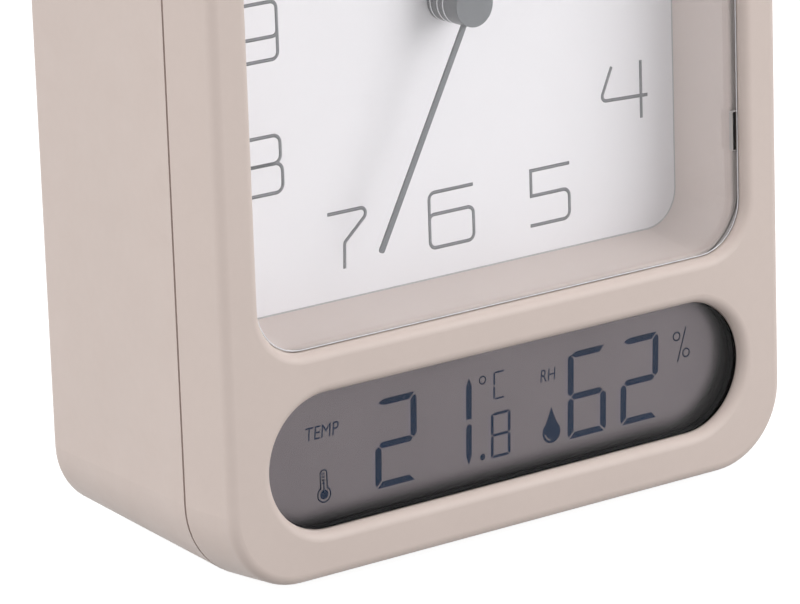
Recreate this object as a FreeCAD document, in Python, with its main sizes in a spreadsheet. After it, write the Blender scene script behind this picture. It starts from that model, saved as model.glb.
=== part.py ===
"""Table clock with hands, an alarm and a temperature and humidity display.

Millimetres. +Z is up and the dial faces -Y. The origin is on the surface that
the clock stands on, under the middle of its case.
"""

import FreeCAD
import Part
import Sketcher

import math
import os
import re

from FreeCAD import Placement, Rotation, Vector

# Driving dimensions. A depth is measured from the front face towards the back,
# and a height from the underside of the case.
SIZES = {
    # case
    "case_width": 110.0,
    "case_height": 136.0,
    "case_depth": 51.6,
    "case_wall": 2.2,
    "face_wall": 2.4,
    "corner_round": 13.6,
    "seam_depth": 10.9,
    "seam_gap": 0.45,
    "front_draft": 0.8,
    "rear_draft": 2.5,
    "front_edge_round": 1.6,
    "rear_edge_round": 2.0,
    "tongue_wall": 0.9,
    "tongue_length": 1.8,
    "tongue_gap": 0.2,
    # dial window and display window
    "window_side": 7.6,
    "window_top": 7.5,
    "window_bottom": 36.5,
    "window_round": 8.2,
    "opening_round": 1.6,
    "pill_side": 8.6,
    "pill_height": 21.6,
    "pill_centre": 18.8,
    # feet
    "foot_proud": 0.6,
    "foot_width": 8.0,
    "foot_recess": 0.8,
    "foot_gap": 0.1,
    "foot_spread": 32.0,
    "front_foot_depth": 17.0,
    "rear_foot_inset": 8.6,
    # case screws and their bosses
    "boss_inset": 8.2,
    "front_boss": 4.0,
    "rear_boss": 6.0,
    "boss_floor": 2.5,
    "case_screw": 2.0,
    "case_screw_length": 9.5,
    "screw_head": 4.0,
    "screw_head_height": 1.4,
    "screw_fit": 0.05,
    "head_gap": 0.2,
    "pilot_depth": 7.4,
    "small_screw_length": 6.0,
    # lens
    "lens_depth": 1.7,
    "lens_gap": 0.12,
    "lens_flange": 1.5,
    "lens_flange_round": 12.6,
    "lens_flange_thick": 1.8,
    "notch_height": 6.3,
    "notch_width": 1.0,
    "notch_below_hub": 26.8,
    # dial
    "dial_depth": 16.2,
    "dial_inset": 1.95,
    "dial_round": 6.0,
    "card_thick": 0.4,
    "plate_thick": 2.0,
    "plate_margin": 1.2,
    "plate_round": 9.0,
    "card_round": 11.6,
    "ear_width": 6.8,
    "shroud_gap": 0.1,
    "shroud_inset": 0.3,
    "shroud_wall": 1.2,
    "shroud_back_round": 10.8,
    "shroud_flange_thick": 1.2,
    "shroud_edge_round": 0.5,
    "dial_boss_drop": 5.0,
    "dial_boss_inset": 4.1,
    "post_height": 3.0,
    "post_width": 5.0,
    "post_margin": 3.5,
    "post_rise": 21.0,
    # hands
    "hub_width": 7.0,
    "hub_gap": 0.15,
    "alarm_hub_thick": 0.8,
    "hour_hub_thick": 1.6,
    "minute_hub_thick": 1.25,
    "second_hub_thick": 3.35,
    "cap_front": 0.6,
    "blade_thick": 0.4,
    "alarm_hand_short": 19.75,
    "alarm_hand_width": 1.4,
    "hour_hand_short": 17.25,
    "hour_hand_width": 2.6,
    "minute_hand_short": 6.25,
    "minute_hand_width": 2.0,
    "second_hand_short": 3.6,
    "second_hand_width": 0.9,
    # tubes of the hands, each an outer diameter, and their running clearance
    "arbor": 1.0,
    "minute_tube": 2.4,
    "hour_tube": 3.8,
    "alarm_tube": 5.2,
    "bush": 6.8,
    "running_fit": 0.06,
    "passing_fit": 0.12,
    "press_fit": 0.02,
    # movement
    "movement_width": 56.0,
    "movement_wall": 1.5,
    "movement_ear": 8.0,
    "layer_gap": 0.4,
    "layer_pitch": 1.45,
    "wheel_thick": 0.8,
    "pinion_margin": 0.15,
    "pivot_depth": 0.9,
    "third_distance": 10.8,
    "motion_distance": 8.0,
    "knob_offset": 17.0,
    "step_distance": 11.5,
    "rotor_distance": 8.4,
    "rotor_width": 5.0,
    "stator_gap": 0.6,
    "stator_rim": 2.2,
    "stator_bar": 4.0,
    "stator_left": 20.0,
    "stator_right": 18.0,
    "coil_margin": 5.0,
    "coil_width": 4.2,
    "coil_length": 26.0,
    "coil_core": 1.4,
    "movement_board_width": 17.0,
    "movement_board_height": 14.0,
    "board_thick": 1.2,
    "movement_board_rise": 8.0,
    "crystal_width": 2.0,
    "crystal_length": 6.0,
    # knobs on the back
    "recess_width": 62.0,
    "recess_height": 24.0,
    "recess_round": 4.0,
    "recess_wall": 2.0,
    "stem": 2.0,
    "stem_hole": 3.0,
    "knob_width": 15.0,
    "knob_sink": 1.0,
    "knob_gap": 0.6,
    "knob_chamfer": 0.8,
    # alarm switch
    "slider_width": 2.2,
    "slider_height": 4.0,
    "slider_length": 5.6,
    "slider_travel": 4.0,
    "slot_gap": 0.2,
    "switch_width": 9.0,
    "switch_height": 13.0,
    "switch_thick": 3.2,
    "switch_gap": 0.35,
    # buzzer
    "buzzer_width": 24.0,
    "buzzer_thick": 4.5,
    "buzzer_inset": 19.5,
    "sound_hole": 2.0,
    "sound_ring": 12.0,
    # snooze button
    "snooze_length": 34.0,
    "snooze_width": 10.0,
    "snooze_gap": 0.25,
    "snooze_depth": 26.0,
    "snooze_proud": 0.8,
    "snooze_travel": 1.2,
    "snooze_flange": 1.4,
    "snooze_flange_thick": 1.2,
    "snooze_switch_width": 6.0,
    "snooze_switch_height": 3.4,
    "bracket_thick": 1.2,
    "bracket_arm": 2.0,
    # batteries
    "cell_width": 14.2,
    "cell_length": 49.2,
    "small_cell_width": 10.3,
    "small_cell_length": 43.3,
    "cell_nub": 5.2,
    "cell_nub_length": 1.2,
    "cell_gap": 0.3,
    "cell_room": 7.8,
    "small_cell_room": 7.3,
    "bay_wall": 1.4,
    "tray_drop": 5.4,
    "contact_thick": 0.4,
    "contact_width": 7.0,
    "spring_width": 6.0,
    "spring_wire": 0.7,
    "spring_turns": 3.0,
    "tray_ear": 8.0,
    "tray_ear_thick": 2.0,
    "tray_screw_inset": 2.3,
    "tray_screw_length": 5.0,
    # battery door
    "door_side": 4.5,
    "door_rise": 3.1,
    "door_thick": 1.9,
    "door_recess": 2.2,
    "door_gap": 0.3,
    "door_drop": 3.4,
    "door_frame_thick": 2.2,
    "door_frame_rim": 3.0,
    "hinge_width": 2.0,
    "hinge_pin": 1.2,
    "hinge_pin_length": 1.5,
    "hinge_fit": 0.08,
    "finger_width": 14.0,
    "finger_height": 4.0,
    # display
    "display_lens_depth": 1.8,
    "display_lens_thick": 1.4,
    "display_flange": 1.3,
    "panel_depth": 5.0,
    "panel_thick": 2.2,
    "panel_border": 0.2,
    "panel_round": 9.5,
    "reflector_thick": 0.3,
    "reflector_inset": 2.6,
    "holder_wall": 1.4,
    "panel_gap": 0.1,
    "zebra_height": 1.8,
    "display_board_depth": 9.2,
    "board_ear": 6.0,
    "board_ear_rim": 1.5,
    "display_boss_inset": 4.7,
    "chip_width": 12.0,
    "chip_thick": 1.2,
    "sensor_width": 5.0,
    "sensor_thick": 2.4,
    "sensor_offset": 30.0,
    "vent_width": 1.6,
    "vent_length": 10.0,
    "vent_pitch": 3.6,
    "vent_lead": 1.0,
    # unit button
    "unit_inset": 15.0,
    "unit_drop": 20.5,
    "unit_width": 5.6,
    "unit_gap": 0.2,
    "unit_travel": 0.8,
    "unit_flange": 1.2,
    "unit_flange_thick": 1.0,
    "unit_switch_width": 6.0,
    "unit_switch_height": 3.5,
    "unit_post": 3.4,
    "unit_board_width": 16.0,
    "unit_board_height": 10.0,
    # leads
    "lead_width": 1.3,
    "lead_bend": 4.0,
    # cuts run past the face that they open by this much
    "overrun": 1.0,
}

# Tooth counts, all but the last two in pairs that mesh.
ROTOR_PINION_TEETH, STEP_WHEEL_TEETH = 8, 48
STEP_PINION_TEETH, SECOND_WHEEL_TEETH = 10, 50
SECOND_PINION_TEETH, THIRD_WHEEL_TEETH = 8, 60
THIRD_PINION_TEETH, MINUTE_WHEEL_TEETH = 8, 64
CANNON_PINION_TEETH, MOTION_WHEEL_TEETH = 10, 30
MOTION_PINION_TEETH, HOUR_WHEEL_TEETH = 8, 32
TIME_PINION_TEETH = 15
ALARM_WHEEL_TEETH, ALARM_PINION_TEETH = 36, 18
KNOB_RIBS = 32
SOUND_HOLES = 6
VENTS = 4

# Tooth form, as shares of the module and of the angle from tooth to tooth.
ADDENDUM_SHARE = 0.80
DEDENDUM_SHARE = 1.20
TOOTH_ROOT_SHARE = 0.30
TOOTH_TIP_SHARE = 0.11
RIB_SHARE = 0.30
RIB_DEPTH_SHARE = 0.045
TOUCH_SHARE = 0.01
NEAR_SHARE = 0.1
SLOT_LENGTH_SHARE = 0.75
SLOT_WIDTH_SHARE = 0.32
HUB_LEAD_SHARE = 0.66
NOTCH_DEPTH_SHARE = 0.5
SWITCH_CASE_SHARE = 0.66
CHIP_SHARE = 0.5
CRYSTAL_SHARE = 0.33
GRIP_SHARE = 0.25
COIL_RIM_SHARE = 0.66

# Where the train's arbors stand about the hub, in degrees clockwise from twelve.
THIRD_ANGLE = 0.0
MOTION_ANGLE = -90.0
TIME_ANGLE = MOTION_ANGLE
ALARM_ANGLE = 90.0
STEP_ANGLE = 180.0
ROTOR_ANGLE = 112.0

# The hands at rest, in degrees clockwise from twelve.
ALARM_HAND_ANGLE = 0.0
HOUR_HAND_ANGLE = 305.0
MINUTE_HAND_ANGLE = 60.0
SECOND_HAND_ANGLE = 207.7

BACKWARDS = Rotation(Vector(1, 0, 0), -90)
SIDEWAYS = Rotation(Vector(0, 1, 0), 90)
UPWARDS = Rotation()

doc = FreeCAD.newDocument("table_clock")
sheet = doc.addObject("Spreadsheet::Sheet", "Sizes")
for row, (alias, number) in enumerate(SIZES.items(), 1):
    sheet.set(f"A{row}", alias)
    sheet.set(f"B{row}", str(number))
    sheet.setAlias(f"B{row}", alias)
doc.recompute()

NODES = []


def sized(text):
    """An expression with each alias as a cell of the sheet, and each following size written out."""

    def spelt(word):
        if word in FOLLOWING:
            return sized(FOLLOWING[word])
        return "Sizes." + word if word in SIZES else word

    return re.sub(r"[a-z_]+\w*", lambda found: spelt(found[0]), str(text))


def value(text):
    """What an expression of the sheet's aliases comes to."""
    return float(sheet.evalExpression(sized(text)))


def bind(item, prop, text):
    item.setExpression(prop, sized(text))


def node(item, name):
    """Give a finished sub-part its name."""
    item.Label = name
    NODES.append(item)
    return item


# Places that many pieces share, as expressions.
FRONT = "(-case_depth / 2)"
HUB = "(foot_proud + window_bottom + window_height / 2)"
MIDDLE = "(foot_proud + case_height / 2)"
PILL = "(foot_proud + pill_centre)"
BOSS_X = "(case_width / 2 - boss_inset)"
BOSS_TOP = "(foot_proud + case_height - boss_inset)"
BOSS_BOTTOM = "(foot_proud + boss_inset)"
DIAL_BOSS = "(foot_proud + window_bottom - dial_boss_drop)"
DISPLAY_BOSS_X = "(case_width / 2 - display_boss_inset)"
PLATE = "(dial_depth + card_thick)"
MOVEMENT = "(dial_depth + card_thick + plate_thick)"
LENS_BACK = "(face_wall + lens_flange_thick)"
SHROUD = "(face_wall + lens_flange_thick + shroud_gap)"
REAR_LENGTH = "(case_depth - seam_depth - seam_gap)"
HINGE_Z = "(foot_proud + door_bottom + hinge_width / 2)"
BAY_FRONT = "(case_depth - door_recess - cell_gap - cell_width - cell_gap)"
BAY_BACK = "(case_depth - door_recess - door_frame_thick)"
SMALL_CELL_Z = "(foot_proud + bay_bottom + cell_gap + small_cell_width / 2)"
CELL_BAY_Z = "(foot_proud + bay_bottom + small_cell_width + 2 * cell_gap + bay_wall)"
CELL_Z = f"({CELL_BAY_Z} + cell_gap + cell_width / 2)"
BAY_TOP = f"({CELL_BAY_Z} + cell_width + 2 * cell_gap)"
CELL_DEPTH = "(case_depth - door_recess - cell_gap - cell_width / 2)"
SMALL_CELL_DEPTH = "(case_depth - door_recess - cell_gap - small_cell_width / 2)"
UNIT_STACK = "(2 * unit_gap + unit_flange_thick + unit_travel + unit_switch_height)"


def layer(count):
    """Depth of the front face of the movement's wheels, layer by layer."""
    return f"({MOVEMENT} + movement_wall + layer_gap + {count} * layer_pitch)"


RECESS_FLOOR = f"({layer(9)} + movement_wall + switch_thick + switch_gap + recess_wall)"

# Sizes that follow from the sheet's, as expressions.
FOLLOWING = {
    "window_width": "(case_width - 2 * window_side)",
    "window_height": "(case_height - window_bottom - window_top)",
    "pill_length": "(case_width - 2 * pill_side)",
    "panel_length": "(pill_length + 2 * panel_border)",
    "panel_height": "(pill_height + 2 * panel_border)",
    "board_ear_reach": "(case_width / 2 - display_boss_inset + board_ear_rim)",
    "rear_foot_depth": "(case_depth - rear_foot_inset)",
    "vent_depth": "((front_foot_depth + rear_foot_depth) / 2 - vent_lead)",
    "dial_width": "(window_width - 2 * dial_inset)",
    "dial_reach": "(min(window_width; window_height) / 2 - dial_inset)",
    "plate_width": "(window_width + 2 * plate_margin)",
    "plate_height": "(window_height + 2 * plate_margin)",
    "dial_boss_offset": "(plate_width / 2 - dial_boss_inset)",
    "post_offset": "(movement_width / 2 + post_margin)",
    "alarm_hand_length": "(dial_reach - alarm_hand_short)",
    "hour_hand_length": "(dial_reach - hour_hand_short)",
    "minute_hand_length": "(dial_reach - minute_hand_short)",
    "second_hand_length": "(dial_reach - second_hand_short)",
    "coil_drop": "(movement_width / 2 - coil_margin)",
    "recess_depth": f"(case_depth - {RECESS_FLOOR})",
    "knob_length": "(recess_depth - knob_gap - knob_sink)",
    "hub_rise": "(window_bottom + window_height / 2)",
    "buzzer_rise": "(case_height - buzzer_inset - hub_rise)",
    "unit_offset": "(case_width / 2 - unit_inset)",
    "unit_height": "(hub_rise - unit_drop)",
    "bay_length": "(cell_length + cell_room)",
    "small_bay_length": "(small_cell_length + small_cell_room)",
    "bay_height": "(small_cell_width + cell_width + 4 * cell_gap + bay_wall)",
    "bay_bottom": "(hub_rise - movement_width / 2 - tray_drop - bay_wall - bay_height)",
    "tray_screw_offset": "(bay_length / 2 + bay_wall + tray_ear - tray_screw_inset)",
    "door_width": "(bay_length + 2 * door_side)",
    "door_bottom": "(bay_bottom - door_drop)",
    "door_height": "(bay_height + door_drop + door_rise)",
}


def shrink(depth):
    """How far the drafted rear shell has come in at a depth behind the seam."""
    return f"(rear_draft * ({depth} - seam_depth - seam_gap) / {REAR_LENGTH})"


# The feet reach from the table to the floors of their recesses.
FRONT_FOOT = f"(foot_proud + {shrink('front_foot_depth')} + foot_recess)"
REAR_FOOT = f"(foot_proud + {shrink('rear_foot_depth')} + foot_recess)"


# Sketch and feature helpers

def body(name):
    return doc.addObject("PartDesign::Body", name)


def sketch(owner, name, depth=None, height=None, side=None):
    """A sketch across the clock at a depth, level at a height, or upright at a side."""
    if depth is not None:
        role, offset = "XZ_Plane", f"case_depth / 2 - ({depth})"
    elif height is not None:
        role, offset = "XY_Plane", height
    else:
        role, offset = "YZ_Plane", side
    plane = [item for item in owner.Origin.OriginFeatures if item.Role == role][0]
    made = owner.newObject("Sketcher::SketchObject", name)
    made.AttachmentSupport = [(plane, "")]
    made.MapMode = "FlatFace"
    bind(made, "AttachmentOffset.Base.z", offset)
    return made


def hold(made, constraint, name, text):
    """Add a constraint that follows the sheet."""
    index = made.addConstraint(constraint)
    made.renameConstraint(index, name)
    bind(made, "Constraints." + name, text)


def circle(made, diameter, x, z):
    index = made.addGeometry(
        Part.Circle(Vector(value(x), value(z), 0), Vector(0, 0, 1), value(diameter) / 2)
    )
    mark = f"circle{index}"
    hold(made, Sketcher.Constraint("Diameter", index, value(diameter)), mark + "_size", diameter)
    hold(made, Sketcher.Constraint("DistanceX", -1, 1, index, 3, value(x)), mark + "_x", x)
    hold(made, Sketcher.Constraint("DistanceY", -1, 1, index, 3, value(z)), mark + "_z", z)


def rectangle(made, width, height, x, z):
    """A rectangle centred at x and z."""
    left, right = value(f"{x} - ({width}) / 2"), value(f"{x} + ({width}) / 2")
    low, high = value(f"{z} - ({height}) / 2"), value(f"{z} + ({height}) / 2")
    corners = [(left, low), (right, low), (right, high), (left, high)]
    first = made.GeometryCount
    for (ax, az), (bx, bz) in zip(corners, corners[1:] + corners[:1]):
        made.addGeometry(Part.LineSegment(Vector(ax, az, 0), Vector(bx, bz, 0)))
    for step in range(4):
        made.addConstraint(
            Sketcher.Constraint("Coincident", first + step, 2, first + (step + 1) % 4, 1)
        )
        kind = "Vertical" if step % 2 else "Horizontal"
        made.addConstraint(Sketcher.Constraint(kind, first + step))
    mark = f"rectangle{first}"
    right_side, upper_side = first + 1, first + 2
    hold(made, Sketcher.Constraint("DistanceX", first, 1, first, 2, right - left), mark + "_w", width)
    hold(
        made,
        Sketcher.Constraint("DistanceY", right_side, 1, right_side, 2, high - low),
        mark + "_h",
        height,
    )
    hold(
        made,
        Sketcher.Constraint("DistanceX", -1, 1, upper_side, 1, right),
        mark + "_x",
        f"{x} + ({width}) / 2",
    )
    hold(
        made,
        Sketcher.Constraint("DistanceY", -1, 1, upper_side, 1, high),
        mark + "_z",
        f"{z} + ({height}) / 2",
    )


def rounded(made, width, height, radius, x, z):
    """A rectangle with round corners, centred at x and z."""
    left, right = value(f"{x} - ({width}) / 2"), value(f"{x} + ({width}) / 2")
    low, high = value(f"{z} - ({height}) / 2"), value(f"{z} + ({height}) / 2")
    r = value(radius)
    quarter = math.pi / 2
    up = Vector(0, 0, 1)
    first = made.GeometryCount
    sides = [
        ((left + r, low), (right - r, low), (right - r, low + r), 3),
        ((right, low + r), (right, high - r), (right - r, high - r), 0),
        ((right - r, high), (left + r, high), (left + r, high - r), 1),
        ((left, high - r), (left, low + r), (left + r, low + r), 2),
    ]
    for start, end, centre, turn in sides:
        made.addGeometry(Part.LineSegment(Vector(*start, 0), Vector(*end, 0)))
        arc = Part.Circle(Vector(*centre, 0), up, r)
        made.addGeometry(Part.ArcOfCircle(arc, turn * quarter, (turn + 1) * quarter))
    for step in range(0, 8, 2):
        side, arc, following = first + step, first + step + 1, first + (step + 2) % 8
        made.addConstraint(Sketcher.Constraint("Tangent", side, 2, arc, 1))
        made.addConstraint(Sketcher.Constraint("Tangent", arc, 2, following, 1))
        made.addConstraint(Sketcher.Constraint("Vertical" if step % 4 else "Horizontal", side))
    for step in (3, 5, 7):
        made.addConstraint(Sketcher.Constraint("Equal", first + 1, first + step))
    mark = f"rounded{first}"
    hold(made, Sketcher.Constraint("Radius", first + 1, r), mark + "_r", radius)
    hold(
        made,
        Sketcher.Constraint("DistanceX", first + 6, 1, first + 2, 1, right - left),
        mark + "_w",
        width,
    )
    hold(made, Sketcher.Constraint("DistanceY", first, 1, first + 4, 1, high - low), mark + "_h", height)
    hold(
        made,
        Sketcher.Constraint("DistanceX", -1, 1, first + 2, 1, right),
        mark + "_x",
        f"{x} + ({width}) / 2",
    )
    hold(
        made,
        Sketcher.Constraint("DistanceY", -1, 1, first + 4, 1, high),
        mark + "_z",
        f"{z} + ({height}) / 2",
    )


def pill(made, length, height, x, z):
    """A slot with half-round ends, centred at x and z."""
    r = value(height) / 2
    left, right = value(f"{x} - ({length}) / 2") + r, value(f"{x} + ({length}) / 2") - r
    cz = value(z)
    quarter = math.pi / 2
    up = Vector(0, 0, 1)
    first = made.GeometryCount
    made.addGeometry(Part.LineSegment(Vector(left, cz - r, 0), Vector(right, cz - r, 0)))
    made.addGeometry(
        Part.ArcOfCircle(Part.Circle(Vector(right, cz, 0), up, r), -quarter, quarter)
    )
    made.addGeometry(Part.LineSegment(Vector(right, cz + r, 0), Vector(left, cz + r, 0)))
    made.addGeometry(
        Part.ArcOfCircle(Part.Circle(Vector(left, cz, 0), up, r), quarter, 3 * quarter)
    )
    for side, following in ((0, 1), (1, 2), (2, 3), (3, 0)):
        made.addConstraint(Sketcher.Constraint("Tangent", first + side, 2, first + following, 1))
    made.addConstraint(Sketcher.Constraint("Horizontal", first))
    made.addConstraint(Sketcher.Constraint("Equal", first + 1, first + 3))
    mark = f"pill{first}"
    hold(made, Sketcher.Constraint("Radius", first + 1, r), mark + "_r", f"({height}) / 2")
    ends = f"({length}) / 2 - ({height}) / 2"
    hold(
        made,
        Sketcher.Constraint("DistanceX", -1, 1, first + 1, 3, right),
        mark + "_right",
        f"{x} + {ends}",
    )
    hold(
        made,
        Sketcher.Constraint("DistanceX", -1, 1, first + 3, 3, left),
        mark + "_left",
        f"{x} - ({ends})",
    )
    hold(made, Sketcher.Constraint("DistanceY", -1, 1, first + 1, 3, cz), mark + "_z", z)


def settled(owner, feature):
    """Recompute and stop if the feature or its sketch failed."""
    doc.recompute()
    for item in (feature, getattr(feature, "Profile", (None,))[0]):
        if item is not None and ("Invalid" in item.State or "Error" in item.State):
            raise RuntimeError(f"{owner.Name}.{feature.Name} did not compute")
    return feature


def pad(owner, name, profile, length, against=False, taper=None):
    """Add material along the sketch's normal, or against it."""
    feature = owner.newObject("PartDesign::Pad", name)
    feature.Profile = profile
    feature.Reversed = against
    bind(feature, "Length", length)
    if taper:
        bind(feature, "TaperAngle", taper)
    return settled(owner, feature)


def pocket(owner, name, profile, length, along=False, taper=None, both=False):
    """Cut against the sketch's normal, or along it, and see that something went."""
    before = owner.Shape.Volume
    feature = owner.newObject("PartDesign::Pocket", name)
    feature.Profile = profile
    feature.Reversed = along
    feature.SideType = "Symmetric" if both else "One side"
    bind(feature, "Length", length)
    if taper:
        bind(feature, "TaperAngle", taper)
    settled(owner, feature)
    if owner.Shape.Volume >= before:
        raise RuntimeError(f"{owner.Name}.{name} cut nothing")
    return feature


def fillet(owner, name, radius, wanted):
    """Round the edges of the body that the test picks."""
    base = owner.Tip
    picked = [f"Edge{i}" for i, edge in enumerate(base.Shape.Edges, 1) if wanted(edge.BoundBox)]
    feature = owner.newObject("PartDesign::Fillet", name)
    feature.Base = (base, picked)
    bind(feature, "Radius", radius)
    return settled(owner, feature)


# Plain solids, each placed by its centre line, its front depth and its lowest height

def box(name, wide, deep, high, x, depth, z):
    made = doc.addObject("Part::Box", name)
    bind(made, "Length", wide)
    bind(made, "Width", deep)
    bind(made, "Height", high)
    bind(made, "Placement.Base.x", f"{x} - ({wide}) / 2")
    bind(made, "Placement.Base.y", f"{FRONT} + {depth}")
    bind(made, "Placement.Base.z", z)
    return made


def rod(name, diameter, length, x, depth, z, turn=BACKWARDS):
    """A cylinder that starts at a point and runs backwards, sideways or upwards."""
    made = doc.addObject("Part::Cylinder", name)
    made.Placement = Placement(Vector(), turn)
    bind(made, "Radius", f"({diameter}) / 2")
    bind(made, "Height", length)
    bind(made, "Placement.Base.x", x)
    bind(made, "Placement.Base.y", f"{FRONT} + {depth}")
    bind(made, "Placement.Base.z", z)
    return made


def fuse(name, *items):
    made = doc.addObject("Part::MultiFuse", name)
    made.Shapes = list(items)
    return made


def group(name, *items):
    """Separate solids that share one node."""
    made = doc.addObject("Part::Compound", name)
    made.Links = list(items)
    return made


def cut(name, base, *tools):
    made = doc.addObject("Part::Cut", name)
    made.Base = base
    made.Tool = tools[0] if len(tools) == 1 else fuse(name + "_tools", *tools)
    return made


def both_sides(make):
    """The same piece on the left and on the right."""
    return [make(side) for side in ("-1", "1")]


# Case

def case_outline(made, inset="0"):
    """The case's outline at the seam, drawn in all round by an inset."""
    rounded(
        made,
        f"case_width - 2 * ({inset})",
        f"case_height - 2 * ({inset})",
        f"corner_round - ({inset})",
        "0",
        MIDDLE,
    )


def front_frame():
    """The front shell, with the dial window, the display window and the front bosses."""
    shell = body("front_frame")
    draft = "-atan(front_draft / seam_depth)"
    outline = sketch(shell, "outline", depth="seam_depth")
    case_outline(outline)
    pad(shell, "block", outline, "seam_depth", taper=draft)
    front, near = value(FRONT), value("overrun") * TOUCH_SHARE
    fillet(shell, "front_edge", "front_edge_round", lambda b: b.YMax < front + near)

    inside = sketch(shell, "inside", depth="seam_depth")
    case_outline(inside, "case_wall")
    pocket(shell, "hollow", inside, "seam_depth - face_wall", along=True, taper=draft)

    tongue = sketch(shell, "tongue", depth="seam_depth")
    case_outline(tongue, "case_wall - tongue_wall")
    case_outline(tongue, "case_wall")
    pad(shell, "locating_tongue", tongue, "tongue_length", against=True)

    openings = sketch(shell, "openings", depth="0")
    rounded(openings, "window_width", "window_height", "window_round", "0", HUB)
    pill(openings, "pill_length", "pill_height", "0", PILL)
    pocket(shell, "windows", openings, "face_wall + overrun")
    side = value("case_width / 2 - front_draft - front_edge_round") - near
    low = value("foot_proud + front_draft + front_edge_round") + near
    high = value("foot_proud + case_height - front_draft - front_edge_round") - near
    fillet(
        shell,
        "opening_edges",
        "opening_round",
        lambda b: b.YMax < front + near and b.XMax < side and b.XMin > -side
        and b.ZMax < high and b.ZMin > low,
    )

    bosses = [
        ("top", PLATE, BOSS_X, BOSS_TOP),
        ("dial", PLATE, "dial_boss_offset", DIAL_BOSS),
        ("bottom", "seam_depth", BOSS_X, BOSS_BOTTOM),
        ("display", "display_board_depth", DISPLAY_BOSS_X, PILL),
    ]
    for name, end, x, z in bosses:
        posts = sketch(shell, name + "_boss_outline", depth=end)
        holes = sketch(shell, name + "_pilot_outline", depth=end)
        for side in ("-1", "1"):
            circle(posts, "front_boss", f"{side} * {x}", z)
            circle(holes, "case_screw + 2 * screw_fit", f"{side} * {x}", z)
        pad(shell, name + "_bosses", posts, f"{end} - face_wall")
        pocket(shell, name + "_pilots", holes, f"min({end} - face_wall; pilot_depth)", along=True)
    return node(shell, "front_frame")


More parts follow.
